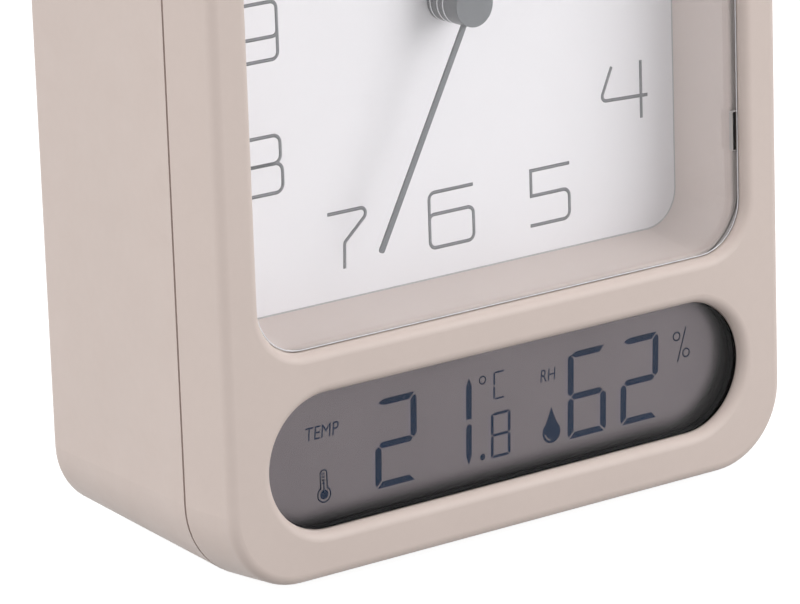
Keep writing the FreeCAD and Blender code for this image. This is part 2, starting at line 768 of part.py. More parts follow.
def rear_case():
    """The rear shell, with the knob recess, the battery opening and the rear bosses."""
    shell = body("rear_case")
    start = "seam_depth + seam_gap"
    draft = f"-atan(rear_draft / {REAR_LENGTH})"
    outline = sketch(shell, "outline", depth=start)
    case_outline(outline)
    pad(shell, "block", outline, REAR_LENGTH, against=True, taper=draft)
    back, near = value("case_depth / 2"), value("overrun") * TOUCH_SHARE
    fillet(shell, "rear_edge", "rear_edge_round", lambda b: b.YMin > back - near)

    inside = sketch(shell, "inside", depth=start)
    case_outline(inside, "case_wall")
    pocket(shell, "hollow", inside, f"{REAR_LENGTH} - case_wall", taper=draft)
    rebate = sketch(shell, "rebate", depth=start)
    case_outline(rebate, "case_wall - tongue_wall - tongue_gap")
    pocket(shell, "tongue_rebate", rebate, "tongue_length - seam_gap + tongue_gap")

    cup = sketch(shell, "cup_outline", depth=f"{RECESS_FLOOR} - recess_wall")
    rounded(
        cup,
        "recess_width + 2 * recess_wall",
        "recess_height + 2 * recess_wall",
        "recess_round + recess_wall",
        "0",
        HUB,
    )
    pad(shell, "knob_cup", cup, "recess_depth + recess_wall - case_wall", against=True)
    recess = sketch(shell, "recess_outline", depth="case_depth")
    rounded(recess, "recess_width", "recess_height", "recess_round", "0", HUB)
    pocket(shell, "knob_recess", recess, "recess_depth", along=True)

    frame = sketch(shell, "door_frame_outline", depth=BAY_BACK)
    door_middle = "foot_proud + door_bottom + door_height / 2"
    frame_width = "door_width + 2 * hinge_pin_length + 4 * door_gap + 2 * door_frame_rim"
    rectangle(frame, frame_width, "door_height + 2 * door_frame_rim", "0", door_middle)
    pad(shell, "door_frame", frame, "door_recess + door_frame_thick - case_wall", against=True)

    bosses = [("top", MOVEMENT, BOSS_TOP), ("bottom", "seam_depth", BOSS_BOTTOM)]
    for name, end, z in bosses:
        posts = sketch(shell, name + "_boss_outline", depth=end)
        bores = sketch(shell, name + "_bore_outline", depth=end)
        wells = sketch(shell, name + "_well_outline", depth="case_depth")
        for side in ("-1", "1"):
            circle(posts, "rear_boss", f"{side} * {BOSS_X}", z)
            circle(bores, "case_screw + 2 * screw_fit", f"{side} * {BOSS_X}", z)
            circle(wells, "screw_head + 2 * head_gap", f"{side} * {BOSS_X}", z)
        pad(shell, name + "_bosses", posts, f"case_depth - case_wall - {end}", against=True)
        pocket(shell, name + "_wells", wells, f"case_depth - {end} - boss_floor", along=True)
        pocket(shell, name + "_bores", bores, "boss_floor + overrun")

    posts = sketch(shell, "unit_post_outline", depth=f"case_depth - case_wall - {UNIT_STACK}")
    for side in ("-1", "1"):
        circle(
            posts,
            "unit_post",
            f"unit_offset + {side} * (unit_board_width - unit_post) / 2",
            "foot_proud + unit_height",
        )
    pad(shell, "unit_posts", posts, UNIT_STACK, against=True)

    rear = sketch(shell, "rear_openings", depth="case_depth")
    circle(rear, "unit_width + 2 * unit_gap", "unit_offset", "foot_proud + unit_height")
    for index in range(SOUND_HOLES):
        turn = f"{index} * 360 / {SOUND_HOLES}"
        circle(
            rear,
            "sound_hole",
            f"sound_ring / 2 * sin({turn})",
            f"{HUB} + buzzer_rise + sound_ring / 2 * cos({turn})",
        )
    pocket(shell, "rear_holes", rear, "case_wall + overrun", along=True)

    floor = sketch(shell, "recess_floor", depth=RECESS_FLOOR)
    for side in ("-1", "1"):
        circle(floor, "stem_hole", f"{side} * knob_offset", HUB)
    rectangle(
        floor,
        "slider_width + 2 * slot_gap",
        "slider_height + slider_travel + 2 * slot_gap",
        "0",
        HUB,
    )
    pocket(shell, "floor_holes", floor, "recess_wall + overrun", along=True)

    seat = sketch(shell, "door_seat", depth="case_depth")
    rectangle(
        seat,
        "door_width + 2 * door_gap",
        "door_height + 2 * door_gap",
        "0",
        door_middle,
    )
    pocket(shell, "door_recess", seat, "door_recess", along=True)
    bay = sketch(shell, "bay_outline", depth="case_depth")
    bay_bottom = "(foot_proud + bay_bottom)"
    rectangle(bay, "bay_length", f"{BAY_TOP} - {bay_bottom}", "0", f"({BAY_TOP} + {bay_bottom}) / 2")
    pocket(shell, "battery_opening", bay, "door_recess + door_frame_thick + overrun", along=True)
    anchors = sketch(shell, "tray_pilot_outline", depth=BAY_BACK)
    for side in ("-1", "1"):
        circle(anchors, "case_screw + 2 * screw_fit", f"{side} * tray_screw_offset", CELL_Z)
    pocket(shell, "tray_pilots", anchors, "tray_screw_length - tray_ear_thick / 2")
    pins = sketch(shell, "pin_holes", side="0")
    circle(pins, "hinge_pin + 2 * hinge_fit", "case_depth / 2 - hinge_width / 2", HINGE_Z)
    pocket(
        shell,
        "hinge_holes",
        pins,
        "door_width + 2 * hinge_pin_length + 4 * hinge_fit",
        both=True,
    )
    finger = sketch(shell, "finger_notch", depth="case_depth")
    door_top = "foot_proud + door_bottom + door_height"
    pill(finger, "finger_width", "2 * finger_height", "0", door_top)
    pocket(shell, "finger_recess", finger, "door_thick / 2", along=True)

    lid = sketch(shell, "snooze_opening", height="foot_proud + case_height")
    pill(
        lid,
        "snooze_length + 2 * snooze_gap",
        "snooze_width + 2 * snooze_gap",
        "0",
        f"{FRONT} + snooze_depth",
    )
    pocket(shell, "snooze_slot", lid, "case_wall + rear_draft")

    for name, depth, height in (("front", "front_foot_depth", FRONT_FOOT), ("rear", "rear_foot_depth", REAR_FOOT)):
        under = sketch(shell, name + "_foot_outline", height="0")
        for side in ("-1", "1"):
            circle(under, "foot_width + 2 * foot_gap", f"{side} * foot_spread", f"{FRONT} + {depth}")
        pocket(shell, name + "_foot_recesses", under, height, along=True)
    vents = sketch(shell, "vent_outline", height="0")
    for index in range(VENTS):
        rectangle(
            vents,
            "vent_width",
            "vent_length",
            f"sensor_offset + ({index} - ({VENTS} - 1) / 2) * vent_pitch",
            f"{FRONT} + vent_depth",
        )
    pocket(shell, "vents", vents, "foot_proud + rear_draft + case_wall", along=True)
    return node(shell, "rear_case")


def rubber_feet():
    feet = []
    ends = [("front", "front_foot_depth", FRONT_FOOT), ("rear", "rear_foot_depth", REAR_FOOT)]
    for name, depth, height in ends:
        for side in ("-1", "1"):
            feet.append(
                rod(name + "_foot", "foot_width", height, f"{side} * foot_spread", depth, "0", UPWARDS)
            )
    return node(group("feet", *feet), "rubber_feet")


def screw(name, seat, length, x, z, backwards=False):
    """A pan-head screw seated at a depth, its shank running forwards or backwards."""
    head_depth = f"({seat}) - screw_head_height" if backwards else seat
    shank_depth = seat if backwards else f"({seat}) - ({length})"
    slot_depth = f"({head_depth}) + screw_head_height * {-1 if backwards else 1} / 2"
    head = rod(name + "_head", "screw_head", "screw_head_height", x, head_depth, z)
    shank = rod(name + "_shank", "case_screw", length, x, shank_depth, z)
    slot = box(
        name + "_slot",
        f"screw_head * {SLOT_LENGTH_SHARE}",
        "screw_head_height",
        f"screw_head_height * {SLOT_WIDTH_SHARE}",
        x,
        slot_depth,
        f"{z} - screw_head_height * {SLOT_WIDTH_SHARE} / 2",
    )
    return cut(name, fuse(name + "_solid", head, shank), slot)


def case_screws():
    ends = [
        ("top", f"{MOVEMENT} + boss_floor", BOSS_TOP),
        ("bottom", "seam_depth + boss_floor", BOSS_BOTTOM),
    ]
    screws = []
    for name, seat, z in ends:
        screws += both_sides(
            lambda side: screw(name + "_case_screw", seat, "case_screw_length", f"{side} * {BOSS_X}", z)
        )
    return node(group("case_screw_set", *screws), "case_screws")


# Dial window, shroud and dial

def dial_lens():
    lens = body("dial_lens")
    flange = sketch(lens, "flange_outline", depth="face_wall")
    rounded(
        flange,
        "window_width + 2 * lens_flange",
        "window_height + 2 * lens_flange",
        "lens_flange_round",
        "0",
        HUB,
    )
    pad(lens, "flange", flange, "lens_flange_thick", against=True)
    face = sketch(lens, "face_outline", depth="face_wall")
    rounded(
        face,
        "window_width - 2 * lens_gap",
        "window_height - 2 * lens_gap",
        "window_round - lens_gap",
        "0",
        HUB,
    )
    pad(lens, "face", face, "face_wall - lens_depth")
    notch = sketch(lens, "notch_outline", depth="lens_depth")
    rectangle(
        notch,
        "2 * notch_width",
        "notch_height",
        "window_width / 2 - lens_gap",
        f"{HUB} - notch_below_hub",
    )
    pocket(lens, "edge_notch", notch, f"face_wall - lens_depth + lens_flange_thick * {NOTCH_DEPTH_SHARE}")
    return node(lens, "dial_lens")


def dial_shroud():
    """The deep frame between the lens and the dial, narrower at the dial."""
    shroud = body("dial_shroud")
    length = f"(dial_depth - {SHROUD})"
    front_width = "(window_width - 2 * shroud_inset)"
    front_height = "(window_height - 2 * shroud_inset)"
    outside = sketch(shroud, "outside", depth=SHROUD)
    rounded(
        outside,
        f"{front_width} + 2 * shroud_wall",
        f"{front_height} + 2 * shroud_wall",
        "shroud_back_round",
        "0",
        HUB,
    )
    pad(shroud, "wall", outside, length, against=True)
    flange = sketch(shroud, "flange_outline", depth="dial_depth")
    rounded(flange, "plate_width", "plate_height", "card_round", "0", HUB)
    pad(shroud, "flange", flange, "shroud_flange_thick")
    mouth = sketch(shroud, "mouth", depth=SHROUD)
    rounded(
        mouth,
        front_width,
        front_height,
        f"dial_round + ({front_width} - dial_width) / 2",
        "0",
        HUB,
    )
    pocket(
        shroud,
        "opening",
        mouth,
        length,
        taper=f"-atan(({front_width} - dial_width) / 2 / {length})",
    )
    front = value(f"{FRONT} + {SHROUD}")
    half_width, half_height = value(f"{front_width} / 2"), value(f"{front_height} / 2")
    near, middle = value("shroud_inset") * NEAR_SHARE, value(HUB)
    fillet(
        shroud,
        "mouth_edge",
        "shroud_edge_round",
        lambda b: b.YMax < front + near and b.XMax < half_width + near
        and b.XMin > -half_width - near and b.ZMax < middle + half_height + near
        and b.ZMin > middle - half_height - near,
    )
    return node(shroud, "dial_shroud")


def dial_card():
    card = body("dial_card")
    outline = sketch(card, "outline", depth="dial_depth")
    rounded(outline, "plate_width", "plate_height", "card_round", "0", HUB)
    circle(outline, "bush + 2 * running_fit", "0", HUB)
    pad(card, "sheet", outline, "card_thick", against=True)
    return node(card, "dial_card")


def dial_plate():
    """The moulded plate behind the card, which carries the movement."""
    plate = body("dial_plate")
    outline = sketch(plate, "outline", depth=PLATE)
    rounded(outline, "plate_width", "plate_height", "plate_round", "0", HUB)
    pad(plate, "sheet", outline, "plate_thick", against=True)
    ears = sketch(plate, "ear_outline", depth=PLATE)
    tabs = sketch(plate, "tab_outline", depth=PLATE)
    for side in ("-1", "1"):
        circle(ears, "ear_width", f"{side} * {BOSS_X}", BOSS_TOP)
        rectangle(
            tabs,
            "ear_width",
            "2 * ear_width",
            f"{side} * dial_boss_offset",
            f"{DIAL_BOSS} + ear_width / 2",
        )
    pad(plate, "top_ears", ears, "plate_thick", against=True)
    pad(plate, "lower_tabs", tabs, "plate_thick", against=True)
    posts = sketch(plate, "post_outline", depth=MOVEMENT)
    for side in ("-1", "1"):
        for rise in ("-1", "1"):
            circle(posts, "post_width", f"{side} * post_offset", f"{HUB} + {rise} * post_rise")
    pad(plate, "posts", posts, "post_height", against=True)
    holes = sketch(plate, "hole_outline", depth=PLATE)
    circle(holes, "bush + 2 * running_fit", "0", HUB)
    for side in ("-1", "1"):
        circle(holes, "case_screw + 2 * screw_fit", f"{side} * {BOSS_X}", BOSS_TOP)
        circle(holes, "case_screw + 2 * screw_fit", f"{side} * dial_boss_offset", DIAL_BOSS)
    pocket(plate, "through_holes", holes, "plate_thick + overrun")
    pilots = sketch(plate, "pilot_outline", depth=f"{MOVEMENT} + post_height")
    for side in ("-1", "1"):
        for rise in ("-1", "1"):
            circle(
                pilots,
                "case_screw + 2 * screw_fit",
                f"{side} * post_offset",
                f"{HUB} + {rise} * post_rise",
            )
    pocket(plate, "post_pilots", pilots, "post_height + plate_thick / 2", along=True)
    return node(plate, "dial_plate")


def dial_screws():
    screws = both_sides(
        lambda side: screw(
            "dial_screw", MOVEMENT, "small_screw_length", f"{side} * dial_boss_offset", DIAL_BOSS
        )
    )
    return node(group("dial_screw_set", *screws), "dial_screws")


# Hands, front to back: second, minute, hour, alarm. Each is made pointing to
# twelve about the hands' axis, then turned to its place on the dial.

HAND_BASE = f"(dial_depth - hub_gap * {HUB_LEAD_SHARE})"
ALARM_HUB = f"({HAND_BASE} - alarm_hub_thick)"
HOUR_HUB = f"({ALARM_HUB} - hub_gap - hour_hub_thick)"
MINUTE_HUB = f"({HOUR_HUB} - hub_gap - minute_hub_thick)"
SECOND_HUB = f"({MINUTE_HUB} - hub_gap - second_hub_thick)"


def hand(name, hub_depth, hub_thick, bore, bore_depth, blade_depth, length, width, angle):
    """A hub with a bore that is open at the back, and a straight blade with a round tip."""
    hub = rod(name + "_hub", "hub_width", hub_thick, "0", hub_depth, "0")
    blade = box(name + "_blade", width, "blade_thick", f"{length} - ({width}) / 2", "0", blade_depth, "0")
    tip = rod(name + "_tip", width, "blade_thick", "0", blade_depth, f"{length} - ({width}) / 2")
    hole = rod(name + "_bore", bore, "hub_width + second_hub_thick", "0", bore_depth, "0")
    made = cut(name, fuse(name + "_solid", hub, blade, tip), hole)
    made.Placement = Placement(Vector(), Rotation(Vector(0, 1, 0), angle))
    bind(made, "Placement.Base.z", HUB)
    return node(made, name)


def hands():
    through = "overrun"
    for name, tube, depth, thick, length, width, angle in (
        ("alarm_hand", "alarm_tube", ALARM_HUB, "alarm_hub_thick", "alarm_hand_length",
         "alarm_hand_width", ALARM_HAND_ANGLE),
        ("hour_hand", "hour_tube", HOUR_HUB, "hour_hub_thick", "hour_hand_length",
         "hour_hand_width", HOUR_HAND_ANGLE),
        ("minute_hand", "minute_tube", MINUTE_HUB, "minute_hub_thick", "minute_hand_length",
         "minute_hand_width", MINUTE_HAND_ANGLE),
    ):
        hand(
            name,
            depth,
            thick,
            f"{tube} + 2 * press_fit",
            f"{depth} - {through}",
            f"{depth} + ({thick} - blade_thick) / 2",
            length,
            width,
            angle,
        )
    hand(
        "second_hand",
        SECOND_HUB,
        "second_hub_thick",
        "arbor + 2 * press_fit",
        f"{SECOND_HUB} + cap_front",
        f"{SECOND_HUB} + cap_front",
        "second_hand_length",
        "second_hand_width",
        SECOND_HAND_ANGLE,
    )


# Movement: wheels are laid out about the hub by distance and angle

def spot(x, z, distance, angle):
    """A point at a distance and a clockwise angle from another."""
    turn = math.radians(angle)
    return x + distance * math.sin(turn), z + distance * math.cos(turn)


def meshed(line, phase, driver, driven):
    """Phase of a wheel that meshes with another along the line of their centres."""
    return line + 180 + (line - phase) * driver / driven + 180 / driven


def toothed(teeth, module, thick, phase, depth):
    """A spur wheel with straight-sided teeth, on the hands' axis, front face at a depth."""
    pitch = 360 / teeth
    root = module * (teeth / 2 - DEDENDUM_SHARE)
    tip = module * (teeth / 2 + ADDENDUM_SHARE)
    corners = []
    for tooth in range(teeth):
        middle = phase + tooth * pitch
        for radius, share in (
            (root, -TOOTH_ROOT_SHARE),
            (tip, -TOOTH_TIP_SHARE),
            (tip, TOOTH_TIP_SHARE),
            (root, TOOTH_ROOT_SHARE),
        ):
            x, z = spot(0, 0, radius, middle + share * pitch)
            corners.append(Vector(x, depth, z))
    face = Part.Face(Part.makePolygon(corners + corners[:1]))
    return face.extrude(Vector(0, thick, 0))


def drum(diameter, start, end):
    """A cylinder on the hands' axis between two depths."""
    return Part.makeCylinder(diameter / 2, end - start, Vector(0, start, 0), Vector(0, 1, 0))


def wheel(name, x, z, pieces, bore=None):
    """Fuse the pieces of one arbor, bore it, and stand it at its place."""
    shape = pieces[0]
    for piece in pieces[1:]:
        shape = shape.fuse(piece)
    if bore:
        shape = shape.cut(bore)
    made = doc.addObject("Part::Feature", name)
    made.Shape = shape.removeSplitter()
    made.Placement = Placement(Vector(x, value(FRONT), value(HUB) + z), Rotation())
    return node(made, name)


def train():
    """The going train, the motion work, the alarm wheel and the two setting stems."""
    thick, margin = value("wheel_thick"), value("pinion_margin")
    arbor, fit, over = value("arbor"), value("running_fit"), value("overrun")
    layers = [value(layer(count)) for count in range(10)]
    pinion = thick + 2 * margin
    floor = layers[9] + value("pivot_depth") - margin
    mid = layers[3]

    third_d, step_d = value("third_distance"), value("step_distance")
    motion_d, rotor_d = value("motion_distance"), value("rotor_distance")
    knob = value("knob_offset")
    second_mod = 2 * third_d / (SECOND_PINION_TEETH + THIRD_WHEEL_TEETH)
    minute_mod = 2 * third_d / (THIRD_PINION_TEETH + MINUTE_WHEEL_TEETH)
    step_mod = 2 * step_d / (SECOND_WHEEL_TEETH + STEP_PINION_TEETH)
    rotor_mod = 2 * rotor_d / (STEP_WHEEL_TEETH + ROTOR_PINION_TEETH)
    cannon_mod = 2 * motion_d / (CANNON_PINION_TEETH + MOTION_WHEEL_TEETH)
    hour_mod = 2 * motion_d / (MOTION_PINION_TEETH + HOUR_WHEEL_TEETH)
    time_mod = 2 * (knob - motion_d) / (MOTION_WHEEL_TEETH + TIME_PINION_TEETH)
    alarm_mod = 2 * knob / (ALARM_WHEEL_TEETH + ALARM_PINION_TEETH)

    third = spot(0, 0, third_d, THIRD_ANGLE)
    motion = spot(0, 0, motion_d, MOTION_ANGLE)
    step = spot(0, 0, step_d, STEP_ANGLE)
    rotor = spot(*step, rotor_d, ROTOR_ANGLE)
    time_stem = spot(0, 0, knob, TIME_ANGLE)
    alarm_stem = spot(0, 0, knob, ALARM_ANGLE)

    tubes = [value(name) for name in ("minute_tube", "hour_tube", "alarm_tube")]
    minute_tube, hour_tube, alarm_tube = tubes
    lead = value("hub_gap") / 2
    alarm_end = value(ALARM_HUB) + lead
    hour_end = value(HOUR_HUB) + lead
    minute_end = value(MINUTE_HUB) + lead
    second_end = value(f"{SECOND_HUB} + cap_front") + lead

    wheel(
        "alarm_wheel", 0, 0,
        [toothed(ALARM_WHEEL_TEETH, alarm_mod, thick, 0, layers[0]),
         drum(alarm_tube, alarm_end, layers[0] + thick)],
        drum(hour_tube + 2 * fit, alarm_end - over, layers[0] + thick + over),
    )
    wheel(
        "hour_wheel", 0, 0,
        [toothed(HOUR_WHEEL_TEETH, hour_mod, thick, 0, layers[1]),
         drum(hour_tube, hour_end, layers[1] + thick)],
        drum(minute_tube + 2 * fit, hour_end - over, layers[1] + thick + over),
    )
    wheel(
        "cannon_pinion", 0, 0,
        [toothed(CANNON_PINION_TEETH, cannon_mod, pinion, 0, layers[2] - margin),
         drum(minute_tube, minute_end, layers[4] + thick + margin)],
        drum(arbor + 2 * fit, minute_end - over, layers[4] + thick + margin + over),
    )
    wheel(
        "minute_wheel", 0, 0,
        [toothed(MINUTE_WHEEL_TEETH, minute_mod, thick, 0, layers[4])],
        drum(minute_tube + 2 * fit, layers[4] - over, layers[4] + thick + over),
    )
    wheel(
        "second_wheel", 0, 0,
        [toothed(SECOND_WHEEL_TEETH, step_mod, thick, 0, layers[6]),
         toothed(SECOND_PINION_TEETH, second_mod, pinion, 0, layers[5] - margin),
         drum(arbor, second_end, floor)],
    )
    motion_phase = meshed(MOTION_ANGLE, 0, CANNON_PINION_TEETH, MOTION_WHEEL_TEETH)
    wheel(
        "minute_work_wheel", *motion,
        [toothed(MOTION_WHEEL_TEETH, cannon_mod, thick, motion_phase, layers[2]),
         toothed(MOTION_PINION_TEETH, hour_mod, layers[2] - layers[1] + margin,
                 meshed(MOTION_ANGLE, 0, HOUR_WHEEL_TEETH, MOTION_PINION_TEETH), layers[1] - margin)],
        drum(arbor + 2 * fit, layers[1] - over, layers[2] + thick + over),
    )
    wheel(
        "third_wheel", *third,
        [toothed(THIRD_WHEEL_TEETH, second_mod, thick,
                 meshed(THIRD_ANGLE, 0, SECOND_PINION_TEETH, THIRD_WHEEL_TEETH), layers[5]),
         toothed(THIRD_PINION_TEETH, minute_mod, pinion,
                 meshed(THIRD_ANGLE, 0, MINUTE_WHEEL_TEETH, THIRD_PINION_TEETH), layers[4] - margin),
         drum(arbor, mid + margin, floor)],
    )
    step_phase = meshed(STEP_ANGLE, 0, SECOND_WHEEL_TEETH, STEP_PINION_TEETH)
    wheel(
        "intermediate_wheel", *step,
        [toothed(STEP_WHEEL_TEETH, rotor_mod, thick, step_phase, layers[7]),
         toothed(STEP_PINION_TEETH, step_mod, pinion, step_phase, layers[6] - margin),
         drum(arbor, mid + margin, floor)],
    )
    wheel(
        "rotor", *rotor,
        [toothed(ROTOR_PINION_TEETH, rotor_mod, pinion,
                 meshed(ROTOR_ANGLE, step_phase, STEP_WHEEL_TEETH, ROTOR_PINION_TEETH), layers[7] - margin),
         drum(value("rotor_width"), layers[8], layers[8] + thick),
         drum(arbor, mid + margin, floor)],
    )
    knob_seat = value(f"{RECESS_FLOOR} + knob_gap + knob_length - knob_chamfer")
    stem = value("stem")
    front_pivot = layers[0] - value("layer_gap") / 2 - value("pivot_depth")
    wheel(
        "time_stem", *time_stem,
        [toothed(TIME_PINION_TEETH, time_mod, pinion,
                 meshed(TIME_ANGLE, motion_phase, MOTION_WHEEL_TEETH, TIME_PINION_TEETH), layers[2] - margin),
         drum(arbor, front_pivot, layers[2]),
         drum(stem, layers[2], knob_seat)],
    )
    wheel(
        "alarm_stem", *alarm_stem,
        [toothed(ALARM_PINION_TEETH, alarm_mod, pinion,
                 meshed(ALARM_ANGLE, 0, ALARM_WHEEL_TEETH, ALARM_PINION_TEETH), layers[0] - margin),
         drum(arbor, front_pivot, layers[0]),
         drum(stem, layers[0], knob_seat)],
    )


def knobs():
    """The ribbed knobs for the time and the alarm, pressed on their stems."""
    ribs, deep, width = KNOB_RIBS, value("knob_length"), value("knob_width")
    chamfer_width = value("knob_chamfer")
    start = value(f"{RECESS_FLOOR} + knob_gap")
    groove = width * RIB_DEPTH_SHARE
    for name, side in (("time_knob", -1), ("alarm_knob", 1)):
        corners = []
        pitch = 360 / ribs
        for rib in range(ribs):
            for radius, share in ((width / 2 - groove, -RIB_SHARE), (width / 2, 0),
                                  (width / 2 - groove, RIB_SHARE)):
                x, z = spot(0, 0, radius, (rib + share) * pitch)
                corners.append(Vector(x, start, z))
        grip = Part.Face(Part.makePolygon(corners + corners[:1])).extrude(Vector(0, deep, 0))
        crown = Part.makeCone(
            width / 2,
            width / 2 - chamfer_width,
            chamfer_width,
            Vector(0, start + deep - chamfer_width, 0),
            Vector(0, 1, 0),
        )
        blank = drum(width, start, start + deep - chamfer_width).fuse(crown)
        bore = drum(
            value("stem + 2 * press_fit"),
            start - deep,
            value(f"{RECESS_FLOOR} + knob_gap + knob_length - knob_chamfer"),
        )
        dimple = drum(width / 2, start + deep - chamfer_width / 2, start + 2 * deep)
        made = doc.addObject("Part::Feature", name)
        made.Shape = grip.common(blank).cut(bore).cut(dimple).removeSplitter()
        made.Placement = Placement(
            Vector(side * value("knob_offset"), value(FRONT), value(HUB)), Rotation()
        )
        node(made, name)


def movement_shells():
    """The front shell with the bush, the plate between the layers, and the back shell."""
    side = "movement_width"
    inner = "(movement_width - 2 * movement_wall)"
    low = f"{HUB} - {side} / 2"
    inner_low = f"{HUB} - {inner} / 2"
    loose = "arbor + 2 * running_fit"

    def bore(name, place, diameter, depth, length):
        made = rod(name, diameter, length, "0", depth, "0")
        bind(made, "Placement.Base.x", place[0])
        bind(made, "Placement.Base.z", f"{HUB} + ({place[1]})")
        return made

    motion = (f"motion_distance * sin({MOTION_ANGLE})", f"motion_distance * cos({MOTION_ANGLE})")
    third = (f"third_distance * sin({THIRD_ANGLE})", f"third_distance * cos({THIRD_ANGLE})")
    step = (f"step_distance * sin({STEP_ANGLE})", f"step_distance * cos({STEP_ANGLE})")
    rotor = (
        f"{step[0]} + rotor_distance * sin({ROTOR_ANGLE})",
        f"{step[1]} + rotor_distance * cos({ROTOR_ANGLE})",
    )
    stems = [("-knob_offset", "0"), ("knob_offset", "0")]

    front_depth = f"({layer(3)} - {MOVEMENT})"
    block = box("front_shell_block", side, front_depth, side, "0", MOVEMENT, low)
    hollow = box(
        "front_shell_hollow", inner, front_depth, inner, "0", f"{MOVEMENT} + movement_wall", inner_low
    )
    bush = rod("front_shell_bush", "bush", f"{MOVEMENT} - dial_depth + movement_wall", "0", "dial_depth", HUB)
    ear_depth = f"{MOVEMENT} + post_height"
    ears = [
        box(
            "front_shell_ear",
            "2 * post_offset + movement_ear",
            "movement_wall",
            "movement_ear",
            "0",
            ear_depth,
            f"{HUB} + {rise} * post_rise - movement_ear / 2",
        )
        for rise in ("-1", "1")
    ]
    clear = [
        rod(
            "ear_hole",
            "case_screw + 2 * screw_fit",
            "movement_wall + 2 * overrun",
            f"{across} * post_offset",
            f"{ear_depth} - overrun",
            f"{HUB} + {rise} * post_rise",
        )
        for across in ("-1", "1")
        for rise in ("-1", "1")
    ]
    pivots = [
        bore("stem_pivot", place, loose, f"{MOVEMENT} + movement_wall - pivot_depth - running_fit", "pivot_depth * 2")
        for place in stems
    ]
    shell = cut("front_shell_tray", fuse("front_shell_outer", block, *ears), hollow)
    centre = rod(
        "front_shell_bore",
        "alarm_tube + 2 * running_fit",
        f"{MOVEMENT} - dial_depth + movement_wall + 2 * overrun",
        "0",
        "dial_depth - overrun",
        HUB,
    )
    front = cut(
        "front_shell", fuse("front_shell_solid", shell, bush), centre, *pivots, *clear
    )
    node(front, "movement_front_shell")

    plate = box("mid_plate_block", side, "wheel_thick", side, "0", layer(3), low)
    through = "wheel_thick + 2 * overrun"
    start = f"{layer(3)} - overrun"
    plate_holes = [bore("mid_pivot", place, loose, start, through) for place in (third, step, rotor)]
    plate_holes.append(bore("mid_centre", ("0", "0"), "minute_tube + 2 * passing_fit", start, through))
    plate_holes += [bore("mid_stem", place, "stem + 2 * passing_fit", start, through) for place in stems]
    stud = bore("motion_stud", motion, "arbor", f"{layer(1)} - pinion_margin",
                "2 * layer_pitch + pinion_margin + wheel_thick / 2")
    node(cut("mid_plate", fuse("mid_plate_solid", plate, stud), *plate_holes), "movement_mid_plate")

    back_start = f"({layer(3)} + wheel_thick)"
    back_depth = f"({layer(9)} + movement_wall - {back_start})"
    block = box("back_shell_block", side, back_depth, side, "0", back_start, low)
    hollow = box(
        "back_shell_hollow",
        inner,
        f"{layer(9)} - {back_start} + overrun",
        inner,
        "0",
        f"{back_start} - overrun",
        inner_low,
    )
    seats = [
        bore("rear_pivot", place, loose, f"{layer(9)} - overrun", "pivot_depth + overrun")
        for place in (("0", "0"), third, step, rotor)
    ]
    stem_ways = [
        bore("rear_stem", place, "stem + 2 * passing_fit", f"{layer(9)} - overrun",
             "movement_wall + 2 * overrun")
        for place in stems
    ]
    node(cut("back_shell", block, hollow, *seats, *stem_ways), "movement_back_shell")
    return rotor


def movement_screws():
    seat = f"{MOVEMENT} + post_height + movement_wall"
    screws = [
        screw(
            "movement_screw",
            seat,
            "post_height + movement_wall",
            f"{across} * post_offset",
            f"{HUB} + {rise} * post_rise",
        )
        for across in ("-1", "1")
        for rise in ("-1", "1")
    ]
    return node(group("movement_screw_set", *screws), "movement_screws")


def motor(rotor):
    """The stepping motor's stator, and its coil on a core across the stator's legs."""
    rotor_x, rotor_z = rotor
    depth = layer(8)
    hole = "(rotor_width + 2 * stator_gap)"
    ring = rod("stator_ring", f"{hole} + 2 * stator_rim", "wheel_thick", rotor_x, depth, f"{HUB} + {rotor_z}")
    low = f"{HUB} - coil_drop - stator_bar / 2"
    span = "(stator_left + stator_right)"
    middle = "(stator_right - stator_left) / 2"
    bar = box("stator_bar_piece", span, "wheel_thick", "stator_bar", middle, depth,
              f"{HUB} + {rotor_z} - stator_bar / 2")
    legs = [
        box("stator_leg", "stator_bar", "wheel_thick", f"coil_drop + ({rotor_z}) + stator_bar / 2", x, depth, low)
        for x in ("stator_bar / 2 - stator_left", "stator_right - stator_bar / 2")
    ]
    opening = rod("stator_opening", hole, "wheel_thick + 2 * overrun", rotor_x, f"{depth} - overrun",
                  f"{HUB} + {rotor_z}")
    node(cut("stator_plate", fuse("stator_solid", ring, bar, *legs), opening), "stator")

    core = box("coil_core_bar", span, "coil_core", "coil_core", middle, f"{depth} - coil_core",
               f"{HUB} - coil_drop - coil_core / 2")
    winding = rod(
        "coil_winding", "coil_width", "coil_length",
        f"{middle} - coil_length / 2", f"{depth} - coil_core / 2", f"{HUB} - coil_drop", SIDEWAYS,
    )
    flanges = [
        rod("coil_flange", f"coil_width + board_thick * {COIL_RIM_SHARE}", "board_thick", x,
            f"{depth} - coil_core / 2", f"{HUB} - coil_drop", SIDEWAYS)
        for x in (f"{middle} - coil_length / 2", f"{middle} + coil_length / 2 - board_thick")
    ]
    notch = box("coil_notch", span, "coil_width", "2 * coil_width", middle, depth,
                f"{HUB} - coil_drop - coil_width")
    node(fuse("coil_whole", core, cut("coil_wound", fuse("coil_round", winding, *flanges), notch)), "coil")


